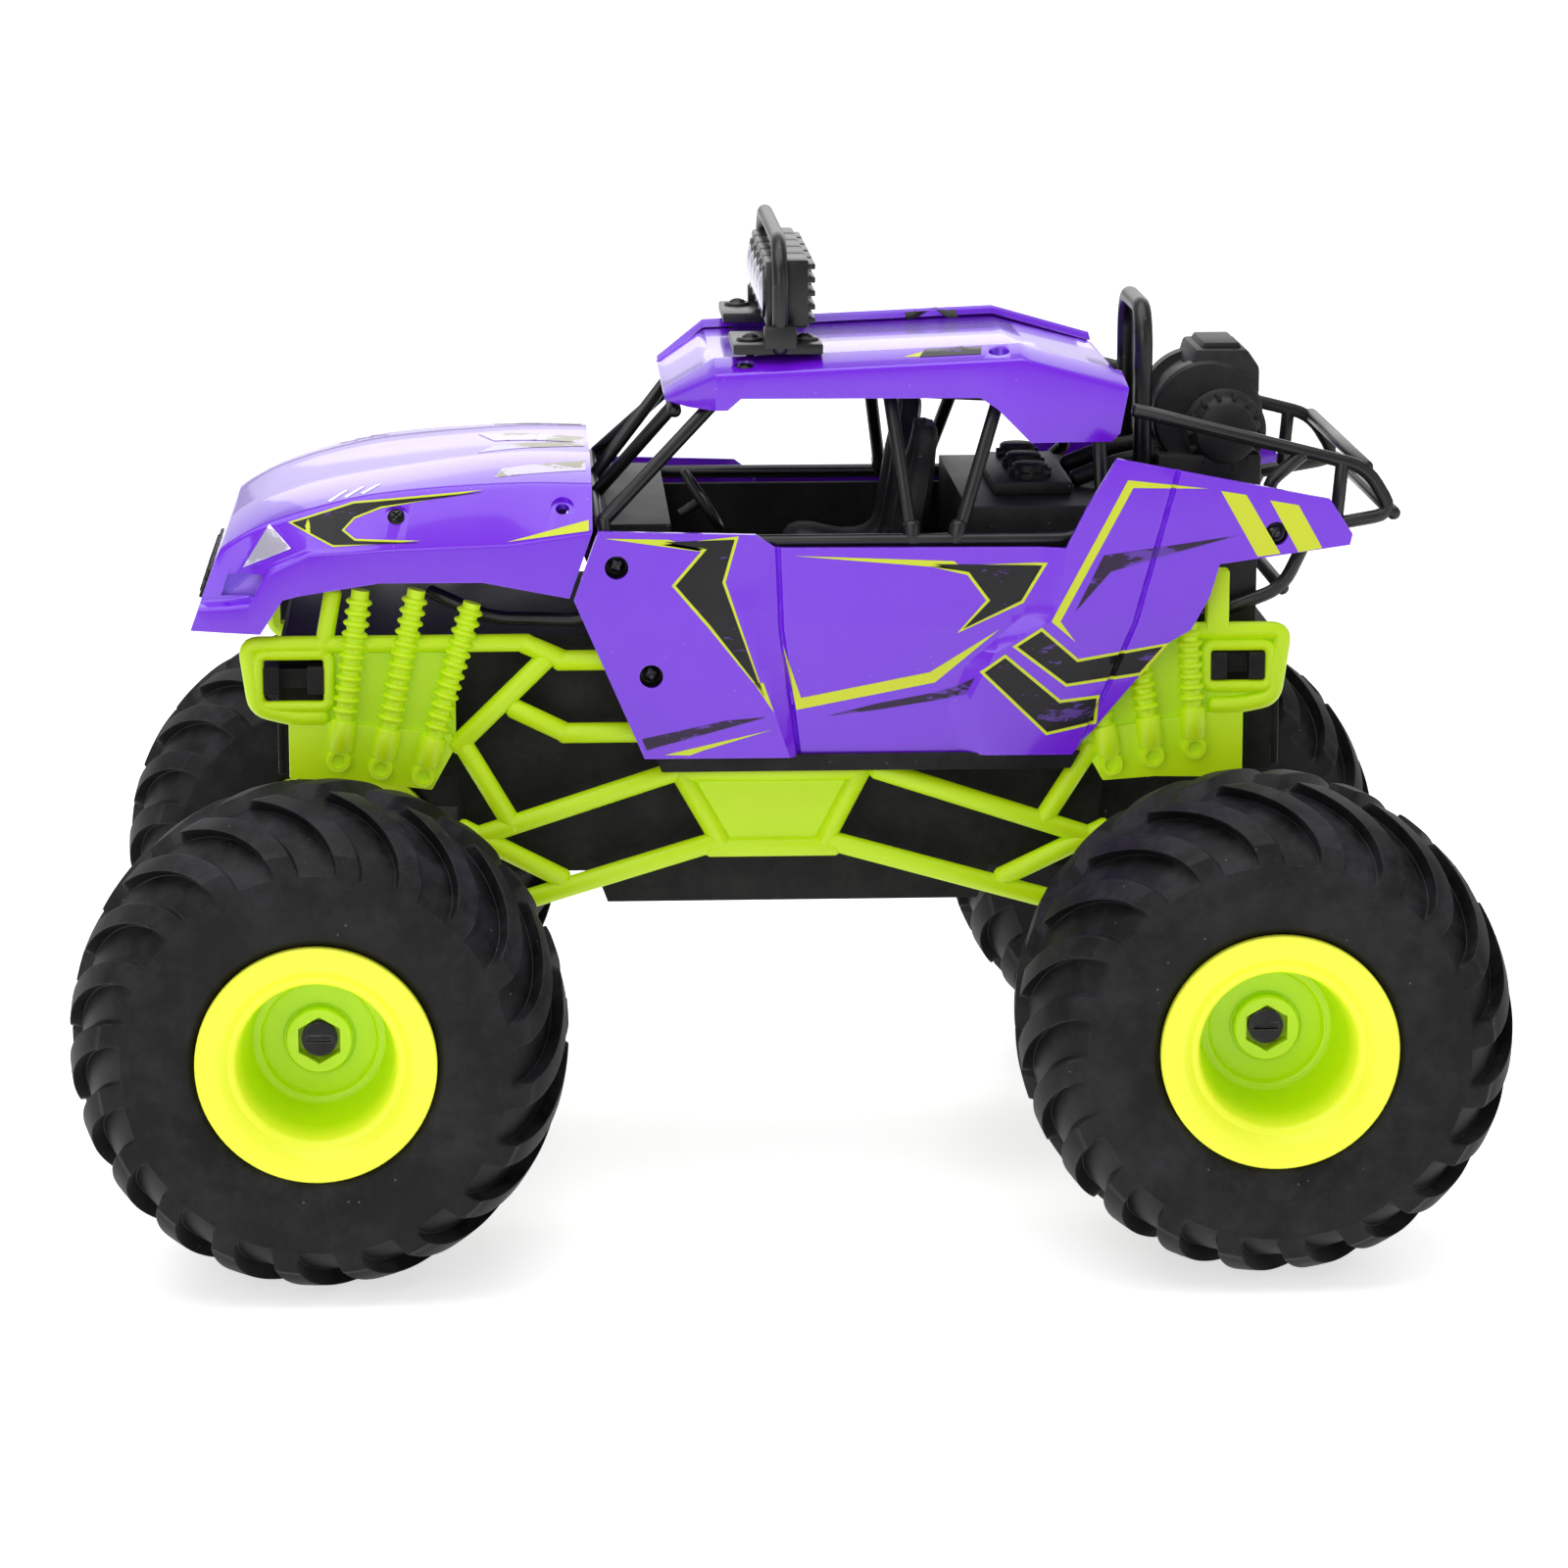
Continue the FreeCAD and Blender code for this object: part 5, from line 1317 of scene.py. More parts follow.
REAR_STRIPES = [[(106.2, 180.4), (112.4, 179.4), (121, 164.9), (115.4, 164.2)],
                [(118.2, 178), (125.2, 176.8), (131.2, 166.2), (125.4, 165.2)]]
BLACKS = [FRONT_SHARD, MIDDLE_SHARD, LOW_CHEVRON, HIGH_CHEVRON]
YELLOWS = [FRONT_TIP, FRONT_TAIL, MIDDLE_TIP, MIDDLE_LINE, CORNER_LINE, LOW_PALE] + REAR_STRIPES
for label, outlines, lift, finish in (
        ("border", [grown(o, 0.75) for o in BLACKS] + YELLOWS, BORDER_LIFT, vinyl_yellow),
        ("shards", BLACKS, INK_LIFT, vinyl_black),
        ("streaks", [MIDDLE_STREAK, LOW_STREAK, SWOOSH], STREAK_LIFT, vinyl_smoke)):
    film = sheets(outlines, door_x, lift, step=2.2, creases=DOOR_CREASES)
    to_pair(f"door_{label}", film, "chassis", finish, crisp=50)
print("films on one door:", len(BLACKS) * 2 + len(YELLOWS) + 3)

# %% The bonnet and roof as surfaces
def hood_ring(y):
    """The bonnet's rounded half section at y."""
    return round_section(between(HOOD_STATIONS, y, HOOD_CURVES_FROM), HOOD_REACHES)


def hood_side_x(y, z):
    """How far out the wing face is at (y, z)."""
    ring = hood_ring(y)[3:]
    for (x0, z0), (x1, z1) in zip(ring, ring[1:]):
        if z0 <= z <= z1:
            return x0 + (x1 - x0) * (z - z0) / max(z1 - z0, 1e-6)
    return ring[0][0] if z < ring[0][1] else 51.0


def height_on(ring, x):
    """How high a half section's top is at x."""
    ring = ring[::-1]
    for (x0, z0), (x1, z1) in zip(ring, ring[1:]):
        if x0 <= abs(x) <= x1:
            return z0 + (z1 - z0) * (abs(x) - x0) / max(x1 - x0, 1e-6)
    return ring[-1][1]


def hood_top_z(x, y):
    """How high the bonnet's top is at (x, y)."""
    return height_on(hood_ring(y), x)


def roof_top_z(x, y):
    """How high the roof is at (x, y)."""
    return height_on(round_section(between(ROOF_STATIONS, y), ROOF_REACHES), x)


print("bonnet and roof height in mm:", round(hood_top_z(0, -90), 1), round(roof_top_z(0, 20), 1))


# %% Bonnet and roof graphics
WING_SHARD = [(-119, 173), (-104, 177.6), (-73, 180.2), (-97.5, 177), (-104, 174.6),
              (-107, 171.6), (-103.8, 169.3), (-88.4, 168.9), (-109, 168.3)]
WING_POINT = [(-67, 169), (-47.2, 174), (-47.2, 171.6)]
SLASHES = [[(48.5, y), (50.2, y + 0.8), (42.6, y + 5.0), (41.6, y + 4.2)]
           for y in (-110.5, -106.5, -102.5)]
STREAKS = [[(46, -70), (40, -47.5), (31, -47.5), (38, -68)],
           [(16, -74), (8, -47.5), (0, -47.5), (4, -70)]]
ROOF_TIP = [(44.5, 30), (45, 39), (42, 41), (41, 36)]
ROOF_SHARD = [(45, 34), (45, 49), (35, 50), (38, 44), (36, 37)]
TOP_FILMS = [
    ("wing_border", [grown(WING_SHARD, 0.45), WING_POINT], hood_side_x, BORDER_LIFT, 0,
     vinyl_yellow),
    ("wing_shard", [WING_SHARD], hood_side_x, INK_LIFT, 0, vinyl_black),
    ("bonnet_slashes", SLASHES, hood_top_z, STREAK_LIFT, 2, vinyl_white),
    ("bonnet_streaks", STREAKS, hood_top_z, STREAK_LIFT, 2, vinyl_olive),
    ("roof_tip", [ROOF_TIP], roof_top_z, TIP_LIFT, 2, vinyl_yellow),
    ("roof_shard", [ROOF_SHARD], roof_top_z, INK_LIFT, 2, vinyl_black)]
for name, outlines, surface, lift, axis, finish in TOP_FILMS:
    film = sheets(outlines, surface, lift, axis)
    to_pair(name, film, "chassis", finish, crisp=50)
print("pairs of films on the bonnet and roof:", len(TOP_FILMS))

# %% [markdown]
# ## Headlights, fog lamps and grille
# The headlights are plated triangles let into the shell's corners; below each is a
# small square pocket, and between them a black grille. All are separate mouldings.

# %% Lamps in the nose
LENS_SHAPE = [(-131.3, 161.9), (-119.2, 167.2), (-124.6, 172.6)]
silver_lens = moulded("silver_lens", rgba(206, 202, 222), 0.16, grain=400, depth=0.06,
                      coat=0.8, metallic=0.55, tone=0.08)
pocket_lilac = moulded("pocket_lilac", rgba(166, 118, 246), 0.2, grain=600, coat=0.5,
                       tone=0.04)
lens = flat_sheet(LENS_SHAPE, step=1.6)
drape(lens, hood_side_x, 1.2, 0.35)
soften(lens, 0.3, angle=50, segments=2)
to_pair("headlight", lens, "chassis", silver_lens, "headlight_lens", crisp=30)
lens_ring = flat_sheet(grown(LENS_SHAPE, 0.9), step=3)
drape(lens_ring, hood_side_x, 0.8, 0.12)
to_pair("headlight_ring", lens_ring, "chassis", shell_purple, crisp=40)
pocket = bmesh.new()
plate(pocket, grown(FOG_POCKET, 0.8), 48.6, 50.2, round_to=0.2)
pocket_piece = to_pair("fog_pocket", pocket, "chassis", pocket_lilac, crisp=40)
print("faces in a fog pocket's floor:", len(pocket_piece.data.polygons))

# %% Grille on the nose slope
(nose_y, nose_z), (brow_y, brow_z) = HOOD_OUTLINE[0], HOOD_OUTLINE[-1]
NOSE_SLOPE = math.atan2(brow_z - nose_z, brow_y - nose_y)
grille = bmesh.new()
block(grille, (-33, -0.9, 2.5), (33, 0.5, 11.5), 0.5)
for k in range(4):
    block(grille, (-31.5, -1.7, 3.4 + 2.1 * k), (31.5, -0.4, 4.6 + 2.1 * k), 0.35)
for x in (-20, -7, 7, 20):
    block(grille, (x - 0.7, -2.0, 3.0), (x + 0.7, -0.4, 11.0), 0.3)
lean = Matrix.Rotation(-(math.pi / 2 - NOSE_SLOPE), 4, "X")
grille.transform(Matrix.Translation((0, -142.9, 147.4)) @ lean)
to_piece("nose_grille", grille, "chassis", frame_black)
print("nose slope in degrees:", round(math.degrees(NOSE_SLOPE), 1))

# %% [markdown]
# ## Black tubes
# Real cages are bent tube; on a toy they are moulded to look like it. Each run is a
# round section swept along a path whose corners are eased, with small collars where
# runs meet.

# %% Cage, windscreen bars, hoop and rack
TUBE_RADIUS, HOOP_RADIUS = 1.7, 2.3


def tubes(name, runs, node, radius=TUBE_RADIUS, bend=6.0, collars=()):
    """Several rods as one black moulding that stands for a CAD node."""
    bm = bmesh.new()
    for points in runs:
        rod(bm, points, radius, bend)
    for spot, toward in collars:
        axis = (Vector(toward) - Vector(spot)).normalized()
        rod(bm, [Vector(spot) - axis * 2.2, Vector(spot) + axis * 2.2], radius * 1.28, sides=16)
    return to_piece(name, bm, "chassis", cage_black, [node], crisp=50)


CAGE_RUNS = [
    [(56, -43.5, 173.5), (39.5, -13, 203), (44, 10, 204), (42.5, 78, 200.5)],
    [(56.5, -43, 168), (56.5, 73, 168), (45, 79, 176)],
    [(56, 31.5, 168), (44.2, 26.5, 203.5)], [(56, 42.5, 168), (44.2, 54, 202.8)],
    [(56, -43.5, 173.5), (56.5, -43, 168)], [(45, 79, 176), (42.5, 78, 200.5)],
    [(56.5, -43, 168), (50, -46, 148), (49.5, -71.5, 148.5), (48, -86, 155)]]
RACK_RUNS = [
    [(46, 87, 198), (46, 144.3, 183.5), (46, 151.3, 172), (46, 131, 168.5)],
    [(46, 129, 187.4), (46, 118.5, 178.5), (46, 131, 168.5)],
    [(46, 131, 168.5), (46, 124, 153.5), (46, 104.4, 146.5)],
    [(46, 138.3, 185), (46, 137, 170)]]
for side_name, side in BOTH_SIDES:
    tubes(f"cage_tubes_{side_name}", [[(side * x, y, z) for x, y, z in run]
                                      for run in CAGE_RUNS], f"cage_{side_name}",
          collars=[((side * 56, 31.5, 169.5), (side * 55, 31, 176)),
                   ((side * 56, 42.5, 169.5), (side * 55, 44, 176))])
rack = [[(side * x, y, z) for x, y, z in run] for run in RACK_RUNS for side in (1, -1)]
rack += [[(-46, y, z), (46, y, z)] for y, z in ((144.3, 183.5), (151.3, 172), (124, 153.5))]
tubes("rack_tubes", rack, "rear_rack", bend=5)
tubes("rear_hoop_tube", [[(-19, 92, 176.2), (-19, 92, 214), (-14, 92, 219.5), (14, 92, 219.5),
                          (19, 92, 214), (19, 92, 176.2)]], "rear_hoop", HOOP_RADIUS, bend=4)
bars = [[(-53.6, -45.3, 173), (53.6, -45.3, 173)], [(-34, -25.5, 197), (34, -25.5, 197)]]
bars += [[(side * 14, -45.3, 173), (side * 24, -25.5, 197)] for side in (1, -1)]
tubes("windscreen_tubes", bars, "windshield_bars")
print("black tubes:", len(CAGE_RUNS) * 2 + len(rack) + len(bars) + 1, "runs")

# %% [markdown]
# ## Roof lamp bar
# A flat hoop stands on two screwed feet and carries five lamps. Each lamp is a ribbed
# square body with a bowl and a domed clear lens towards the road.

# %% Hoop and feet
hoop = bmesh.new()
rod(hoop, [(-44, 0, 213), (-44, 0, 233), (-36, 0, 239), (36, 0, 239), (44, 0, 233),
           (44, 0, 213)], 1.9, bend=5, sides=16)
for side in (1, -1):
    outline = [(side * 18, -11.5), (side * 44.5, -11.5), (side * 44.5, 10.5), (side * 34, 10.5),
               (side * 31, 6), (side * 24, 6), (side * 18, 3)]
    plate(hoop, outline, 212, 214.6, "z", 0.5)
    for y in (-7, 6.5):
        turned(hoop, [(214.4, 0), (214.4, 3.4), (215.1, 3.4), (215.4, 3.0), (215.4, 0)],
               (side * 36, y, 0), "z", 32)
    block(hoop, (side * 44 - 2, -4, 213.5), (side * 44 + 2, 4, 219), 0.6)
for z in (219.5, 232.5):
    rod(hoop, [(-43, 0.5, z), (43, 0.5, z)], 1.0, sides=10)
hoop_piece = to_piece("lamp_bar_hoop", hoop, "chassis", cage_black,
                      ["light_bar_frame"])
print("faces in the hoop:", len(hoop_piece.data.polygons))

# %% Five lamps
LAMP_PITCH, LAMP_Z = 15.2, 226
housing, lamps = bmesh.new(), bmesh.new()
for x in [k * LAMP_PITCH for k in range(-2, 3)]:
    block(housing, (x - 7.2, 0.4, 217.6), (x + 7.2, 7.4, 234.4), 0.9)
    for k in range(5):
        z = 219.4 + 3.3 * k
        block(housing, (x - 6.2, 6.4, z - 0.7), (x + 6.2, 9.0, z + 0.7), 0.3)
    block(housing, (x - 7.0, -3.2, 218), (x + 7.0, 0.8, 234), 0.8)
    turned(housing, [(-3.9, 6.4), (-3.3, 6.6), (-3.0, 6.6), (-3.0, 5.6), (-3.9, 5.8)],
           (x, 0, LAMP_Z), "y", 40)
    turned(lamps, [(-2.6, 5.7), (-3.4, 5.6), (-4.3, 4.2), (-4.8, 2.2), (-5.0, 0),
                   (-2.2, 0), (-2.2, 5.7)], (x, 0, LAMP_Z), "y", 40)
to_piece("lamp_housings", housing, "chassis", cage_black,
         ["light_bar_housing"])
to_piece("lamp_lenses", lamps, "chassis", lens_pearl, ["light_bar_lens"])
print("lamps stand", LAMP_PITCH, "mm apart,", LAMP_Z, "mm above the ground")

# %% [markdown]
# ## Cabin
# Bucket seats, a wheel with three spokes and a tub with a dashboard. A seat is one
# moulded shell with rolled bolsters and cross ribs, so it is built from sections
# along its back and cushion rather than from boxes.

# %% Seats
SEAT_X, SEAT_RIB = 26, 0.5
# (y, z, depth, half width) of each section, from the cushion's front to the headrest.
SEAT_PATH = [(6, 153, 6.5, 12.5), (9, 155.5, 6.5, 13), (16, 154.5, 6, 13),
             (24, 154, 6, 12.5), (29.5, 157, 6, 12.2), (31.5, 164, 5, 12.8),
             (33, 173, 5, 13.2), (34.5, 181, 5, 12), (35.8, 186, 4.6, 9),
             (36.6, 190, 4.2, 8), (37, 192.6, 3, 7)]


def bucket_seat(centre_x):
    """A bucket seat from sections that run up the cushion and then the back."""
    bm = bmesh.new()
    rings = []
    last = len(SEAT_PATH) - 1
    for i, (y, z, deep, half) in enumerate(SEAT_PATH):
        before, after = SEAT_PATH[max(i - 1, 0)], SEAT_PATH[min(i + 1, last)]
        ahead = Vector((0, after[0] - before[0], after[1] - before[1])).normalized()
        up = Vector((0, -ahead.z, ahead.y))
        rib = SEAT_RIB if i % 2 else 0.0
        section = [(-half, -deep * 0.5), (-half, 1.0), (-half * 0.86, 2.3), (-half * 0.66, 1.3),
                   (-half * 0.52, -0.2 + rib), (0, -0.5 + rib), (half * 0.52, -0.2 + rib),
                   (half * 0.66, 1.3), (half * 0.86, 2.3), (half, 1.0), (half, -deep * 0.5),
                   (0, -deep * 0.62)]
        rings.append([bm.verts.new(Vector((centre_x + across, y, z)) + up * out)
                      for across, out in section])
    bridge(bm, rings)
    bm.faces.new(rings[0])
    bm.faces.new(rings[-1][::-1])
    bmesh.ops.recalc_face_normals(bm, faces=bm.faces)
    bmesh.ops.subdivide_edges(bm, edges=bm.edges, cuts=1, use_grid_fill=True, smooth=0.6)
    block(bm, (centre_x - 9, 8, 145.6), (centre_x + 9, 34, 151), 1.2)
    return bm


for side_name, side in BOTH_SIDES:
    seat = to_piece(f"bucket_seat_{side_name}", bucket_seat(side * SEAT_X), "chassis",
                    cabin_black, [f"seat_{side_name}"], crisp=50)
print("faces in a seat:", len(seat.data.polygons))

# %% Steering wheel
WHEEL_RADIUS, SPOKE_REACH, WHEEL_PLACE = 8.2, 7.6, (SEAT_X, -18.5, 173.5)


def on_circle(radius, turn):
    """A point on a flat circle about the origin, turn in radians."""
    return (radius * math.cos(turn), radius * math.sin(turn), 0)


wheel = bmesh.new()
rim_path = [on_circle(WHEEL_RADIUS, k * math.pi / 20) for k in range(40)]
rod(wheel, rim_path, 1.0, closed=True, sides=10)
for turn in (90, 210, 330):
    tip = on_circle(SPOKE_REACH, math.radians(turn))
    rod(wheel, [(0, 0, -0.6), tip], 0.8, sides=8, flat=0.6)
turned(wheel, [(-6.5, 0), (-6.5, 1.2), (-1.2, 1.3), (-1.0, 2.6), (0.5, 2.4), (0.8, 1.6),
               (0.8, 0)], (0, 0, 0), "z", 28)
facing = Vector((0, 0.84, 0.54)).to_track_quat("Z", "Y").to_matrix().to_4x4()
wheel.transform(Matrix.Translation(WHEEL_PLACE) @ facing)
to_piece("steering_wheel_rim", wheel, "chassis", cabin_black,
         ["steering_wheel"], crisp=45)
print("steering wheel across:", 2 * WHEEL_RADIUS, "mm, at", WHEEL_PLACE)

# %% [markdown]
# ## Engine moulding
# Behind the seats sits a dummy engine: a drum lying across the truck, a box on top,
# stepped covers with short ribs at its ends and a plate with three caps in front.

# %% Drum, box and end covers
COVER_PLACE, COVER_RIBS = (0, 113, 188.5), 14
COVER = [(14, 0), (14, 10.6), (16.2, 10.6), (16.6, 10.1), (17.0, 9.2), (19.6, 8.4), (20.0, 7.9),
         (21.6, 7.5), (22.0, 6.8), (22.2, 4), (22.2, 0)]
engine = bmesh.new()
block(engine, (-20, 96, 174), (20, 122, 183), 1.0)
turned(engine, [(-15, 0), (-15, 13.2), (-14.2, 13.9), (-9, 13.9), (-8.6, 12.2), (8.6, 12.2),
                (9, 13.9), (14.2, 13.9), (15, 13.2), (15, 0)], (0, 109, 192), "x", 64)
plate(engine, [(104, 201.5), (106, 208.6), (118.8, 208.6), (122, 204), (122, 197), (104, 197)],
      -14, 14, "x", 1.0)
plate(engine, [(107.4, 208.2), (108.4, 210), (117, 210), (118, 208.2)], -11, 11, "x", 0.5)
for side in (1, -1):
    turned(engine, [(side * x, r) for x, r in COVER], COVER_PLACE, "x", 56)
    for k in range(COVER_RIBS):
        turn = 2 * math.pi * k / COVER_RIBS
        rib = bmesh.new()
        block(rib, (side * 18 - 2.2, 8.2, -0.6), (side * 18 + 2.2, 9.9, 0.6), 0.25)
        rib.transform(Matrix.Translation(COVER_PLACE) @ Matrix.Rotation(turn, 4, "X"))
        merge(engine, rib)
print("faces so far:", len(engine.faces))

# %% Front plate, caps and pipes
CAP_Y, CAP_TEETH, TOOTH_RADIUS = 64, 8, 4.9
block(engine, (-26, 54, 174), (26, 74, 177.4), 0.9)
for x in (-17, 0, 17):
    turned(engine, [(177, 0), (177, 5.4), (178.6, 5.4), (179, 4.6), (180.6, 4.4), (181, 3.8),
                    (181, 0)], (x, CAP_Y, 0), "z", 32)
    for k in range(CAP_TEETH):
        across, along, _ = on_circle(TOOTH_RADIUS, k * 2 * math.pi / CAP_TEETH)
        block(engine, (x + across - 0.5, CAP_Y + along - 0.5, 177.2),
              (x + across + 0.5, CAP_Y + along + 0.5, 179.6), 0.15)
for x in (-12, 12):
    rod(engine, [(x, 76, 176), (x, 86, 180), (x, 97, 182)], 2.2, bend=5)
engine_piece = to_piece("engine_block", engine, "chassis", cabin_black,
                        ["engine_moulding"], crisp=40)
print("faces in the engine:", len(engine_piece.data.polygons))

# %% [markdown]
# ## Side frames
# Each lime side is one big moulding: round-topped bars round open windows, thin
# sunken plates between them, and six dummy shock absorbers with rubber-like bellows.
# The bars are swept rods half sunk into the tub's wall, the plates are trimmed flat
# outlines, and each bellows is one profile turned round its own leaning axis. Only
# the left frame is written; the right one is its mirror.

# %% Outlines of the side frame
FRAME_BARS = [
    ((-63, 143), (-54, 139)), ((-55, 138.7), (78, 138.7)), ((-58, 139), (-80, 117.5)),
    ((-66, 127), (-53, 120.6)), ((-54, 120.6), (-26, 120.6)), ((-78, 117.5), (-66, 97)),
    ((-28, 140), (-28, 113)), ((40, 140), (40, 114)),
    ((-79, 93.6), (-26, 110.8)), ((-79, 97), (-54, 84)), ((-64, 78.6), (-17, 92.8)),
    ((-25.5, 111), (-15, 92.5)), ((-18, 91.6), (13, 91.6)), ((19.5, 111), (10, 92.5)),
    ((12, 92.8), (66, 77.6)), ((54, 83), (80, 95.5)), ((23, 110.8), (80, 92)),
    ((64, 97), (76, 116)), ((-25.5, 110.6), (19.5, 110.6))]
FRAME_IN, SUNK_PLATE, PROUD_PLATE = 52.0, 54.4, 55.8
BAR_CENTRE, BAR_RADIUS, RIM_RADIUS, WINDOW_RADIUS = 54.5, 2.5, 2.2, 1.5
END_PLATES = [
    [(-131, 144), (-128.7, 128.4), (-120.7, 125), (-120.7, 116), (-84, 116), (-80, 120),
     (-80, 144)],
    [(123.6, 145), (121, 128), (113.5, 125), (113.5, 114), (74, 114), (73, 138), (75.5, 145)]]
LOW_PLATES = [
    [(-120.7, 124.4), (-120.7, 110), (-107, 109.6), (-86, 106.9), (-80.4, 117), (-81, 121),
     (-113, 124.4)],
    [(113.5, 124.8), (113.5, 108), (92, 108.4), (79, 107.5), (73.6, 117), (74, 120),
     (107, 124.8)]]
RIM_RUNS = [[(-62, 143.2), (-130.6, 143.2), (-128.4, 127.6), (-119.2, 125.2), (-112, 125.2)],
            [(76, 144.6), (123.2, 144.6), (120.8, 127.8), (112.2, 126), (106, 126)],
            [(-112.2, 141), (-109.4, 156)]]
WINDOWS = [(-127, -111.6, 128.9, 140), (105, 119, 131.8, 140.2)]
SHOCKS = [(-102.6, 157, -108.6, 115), (-89, 157, -98.4, 113), (-75.6, 153.6, -88, 111),
          (99.5, 147, 101.3, 116), (87, 142, 91, 114), (77, 130, 80.8, 112)]


print("windows in mm:", [(round(y1 - y0, 1), round(z1 - z0, 1)) for y0, y1, z0, z1 in WINDOWS])

# %% Plates and window rims
def side_plates():
    """Sunken and proud plates with their windows cut out."""
    whole = bmesh.new()
    for sunk, low, (y0, y1, z0, z1) in zip(END_PLATES, LOW_PLATES, WINDOWS):
        sheet, window = bmesh.new(), bmesh.new()
        plate(sheet, sunk, FRAME_IN, SUNK_PLATE)
        block(window, (50, y0, z0), (60, y1, z1), 0)
        merge(whole, combine(sheet, window, "DIFFERENCE"))
        plate(whole, low, FRAME_IN, PROUD_PLATE, round_to=0.5)
        edge = [(BAR_CENTRE + 0.6, y, z) for y, z in rounded_rectangle(y0, y1, z0, z1, 1.0)]
        rod(whole, edge, WINDOW_RADIUS, closed=True, sides=12)
    plate(whole, [(-27, 110), (21, 110), (10, 92), (-15, 92)], FRAME_IN, 55, round_to=0.3)
    plate(whole, [(104, 144), (104, 160), (109.5, 160), (109.5, 144)], FRAME_IN, 57,
          round_to=0.8)
    return whole


def rounded_rectangle(y0, y1, z0, z1, grow, corner=2.0):
    """A closed path round a window, its corners eased by five points each."""
    y0, y1, z0, z1 = y0 - grow, y1 + grow, z0 - grow, z1 + grow
    spots = []
    for cy, cz, first in ((y1 - corner, z1 - corner, 0), (y0 + corner, z1 - corner, 90),
                          (y0 + corner, z0 + corner, 180), (y1 - corner, z0 + corner, 270)):
        for k in range(5):
            turn = math.radians(first + 22.5 * k)
            spots.append((cy + corner * math.cos(turn), cz + corner * math.sin(turn)))
    return spots


# %% Bellows and whole frames
BELLOWS_CENTRE, RIB_PITCH = 56.7, 2.7


def bellows(top_y, top_z, ring_y, ring_z):
    """One dummy shock: cup, ribs and shaft turned round its leaning axis."""
    lean = Vector((0, top_y - ring_y, top_z - ring_z))
    profile = [(2.2, 0), (2.2, 2.5), (2.9, 3.1), (9.3, 3.2), (9.9, 2.9), (10.1, 2.2)]
    start = 11.6
    while start + RIB_PITCH < lean.length:
        profile += [(start, 2.2), (start + 0.3, 2.85), (start + 0.7, 3.2), (start + 1.0, 3.2),
                    (start + 1.4, 2.85), (start + 1.7, 2.2)]
        start += RIB_PITCH
    profile += [(lean.length, 2.2), (lean.length, 0)]
    bm = bmesh.new()
    turned(bm, profile, (0, 0, 0), "z", 36)
    aim = lean.to_track_quat("Z", "Y").to_matrix().to_4x4()
    bm.transform(Matrix.Translation((BELLOWS_CENTRE, ring_y, ring_z)) @ aim)
    turned(bm, [(54, 0), (54, 2.9), (58.3, 2.9), (58.8, 2.6), (58.8, 1.7), (57.6, 1.5),
                (57.6, 0)], (0, ring_y, ring_z), "x", 36)
    return bm


lime = side_plates()
for a, b in FRAME_BARS:
    rod(lime, [(BAR_CENTRE, *a), (BAR_CENTRE, *b)], BAR_RADIUS, sides=18)
for run in RIM_RUNS:
    rod(lime, [(BAR_CENTRE, *spot) for spot in run], RIM_RADIUS, bend=3, sides=16)
for shock in SHOCKS:
    merge(lime, bellows(*shock))
to_pair("lime_frame", lime, "chassis", frame_lime, "side_frame", crisp=42)
sill = bmesh.new()
plate(sill, [(-29.8, 111.4), (-31.5, 115.6), (73, 115.6), (70.6, 111.4)], 57.15, 59.2, "x", 0.35)
to_pair("sill_strip", sill, "chassis", frame_black)
print("side frames:", len(FRAME_BARS), "bars,", len(SHOCKS), "dummy shocks each")

# %% [markdown]
# ## Screws
# Self-tapping screws with a domed head and a cross recess. One head is made once with
# a boolean, then set at each hole, turned by a different angle as a worker leaves it.

# %% Cross-head screws
head = bmesh.new()
turned(head, [(-5, 0), (-5, 1.1), (0, 1.1), (0, 2.2), (0.5, 2.2), (1.0, 1.7), (1.3, 0.9),
              (1.4, 0)], (0, 0, 0), "x", 32)
for width, height in ((0.28, 1.35), (1.35, 0.28)):
    cross = bmesh.new()
    block(cross, (0.45, -width, -height), (2, width, height), 0)
    head = combine(head, cross, "DIFFERENCE")
SCREW_SPOTS = [((57.4, y, z), (1, 0, 0)) for y, z in PANEL_HOLES[:2]]
SCREW_SPOTS += [((59.6, 119.9, 169.8), (1, 0, 0)), ((44, -8.6, 208.6), (0, 0, 1)),
                ((54.9, -93.7, 174.4), (0.74, 0, 0.67)), ((36, -7, 214.9), (0, 0, 1)),
                ((36, 6.5, 214.9), (0, 0, 1))]
random.seed(7)
screws = bmesh.new()
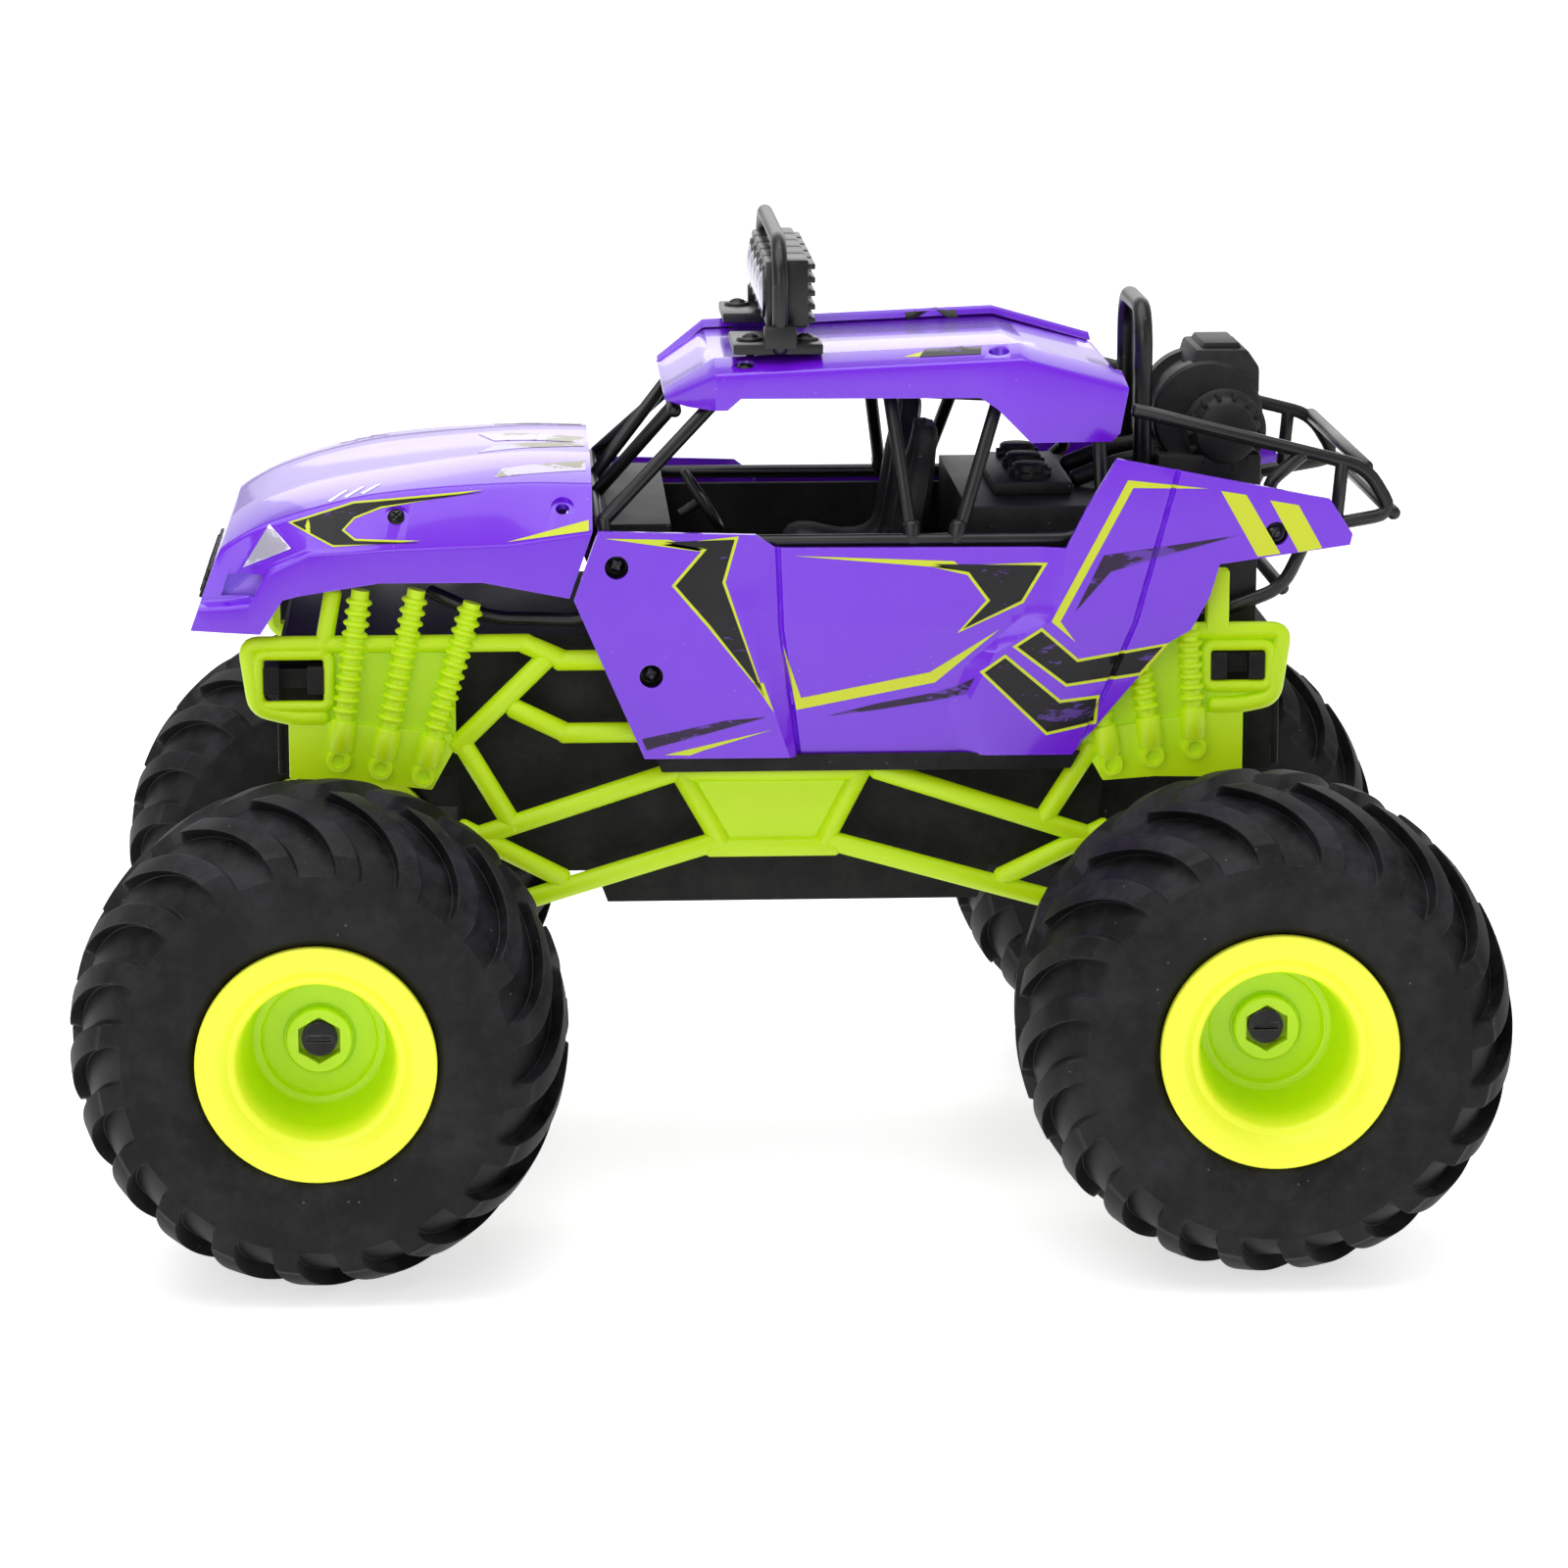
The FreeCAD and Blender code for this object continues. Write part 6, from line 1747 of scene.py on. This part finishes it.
for _, side in BOTH_SIDES:
    for (x, y, z), direction in SCREW_SPOTS:
        one = head.copy()
        spin = Matrix.Rotation(random.uniform(0, math.pi / 2), 4, "X")
        aim = Vector((side * direction[0], direction[1], direction[2]))
        turn = aim.to_track_quat("X", "Z").to_matrix().to_4x4()
        one.transform(Matrix.Translation((side * x, y, z)) @ turn @ spin)
        merge(screws, one)
    for y, z in PANEL_HOLES[:2]:
        turned(screws, [(side * 55.6, 0), (side * 55.6, 3.6), (side * 56.6, 3.6),
                        (side * 56.6, 0)], (0, y, z), "x", 32)
    turned(screws, [(side * 57.2, 0), (side * 57.2, 4.2), (side * 58.6, 4.2), (side * 58.6, 0)],
           (0, 119.9, 169.8), "x", 32)
head.free()
to_piece("shell_screws", screws, "chassis", screw_steel, ["body_screws"],
         crisp=35)
print("cross-head screws:", 2 * len(SCREW_SPOTS))

# %% [markdown]
# ## Ribs on the tub's ends
# The tub behind the side frames is a plain deep box in the CAD. A real moulded tub
# has stiffening ribs and screw rings on its bare end walls, so we add them.

# %% Ribbed end walls
RIB_SUNK, RIB_PROUD = 0.2, 1.8
RIB_LOW, RIB_HIGH = 112, 138
tub_low, tub_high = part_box("chassis_tub")
tub_front, tub_rear = tub_low[1] / MM, tub_high[1] / MM
for end_name, wall, out in (("front", tub_front, -1), ("rear", tub_rear, 1)):
    ribs = bmesh.new()
    y0, y1 = sorted((wall - out * RIB_SUNK, wall + out * RIB_PROUD))
    for x in range(-40, 41, 16):
        block(ribs, (x - 0.9, y0, RIB_LOW), (x + 0.9, y1, RIB_HIGH), 0.35)
    for z in (RIB_LOW, (RIB_LOW + RIB_HIGH) / 2, RIB_HIGH):
        block(ribs, (-42, y0, z - 0.9), (42, y1, z + 0.9), 0.35)
    for x in (-44.2, 44.2):
        block(ribs, (x - 1.2, y0, 109), (x + 1.2, y1, 139.5), 0.4)
    for x in (-24, 0, 24):
        turned(ribs, [(wall, 0), (wall, 4.6), (wall + out * 1.6, 4.2), (wall + out * 1.6, 2.2),
                      (wall + out * 0.4, 2.0), (wall + out * 0.4, 0)], (x, 0, 118.5), "y", 28)
    to_piece(f"tub_ribs_{end_name}", ribs, "chassis", frame_black)
print("tub's end walls in mm:", round(tub_front, 1), round(tub_rear, 1))
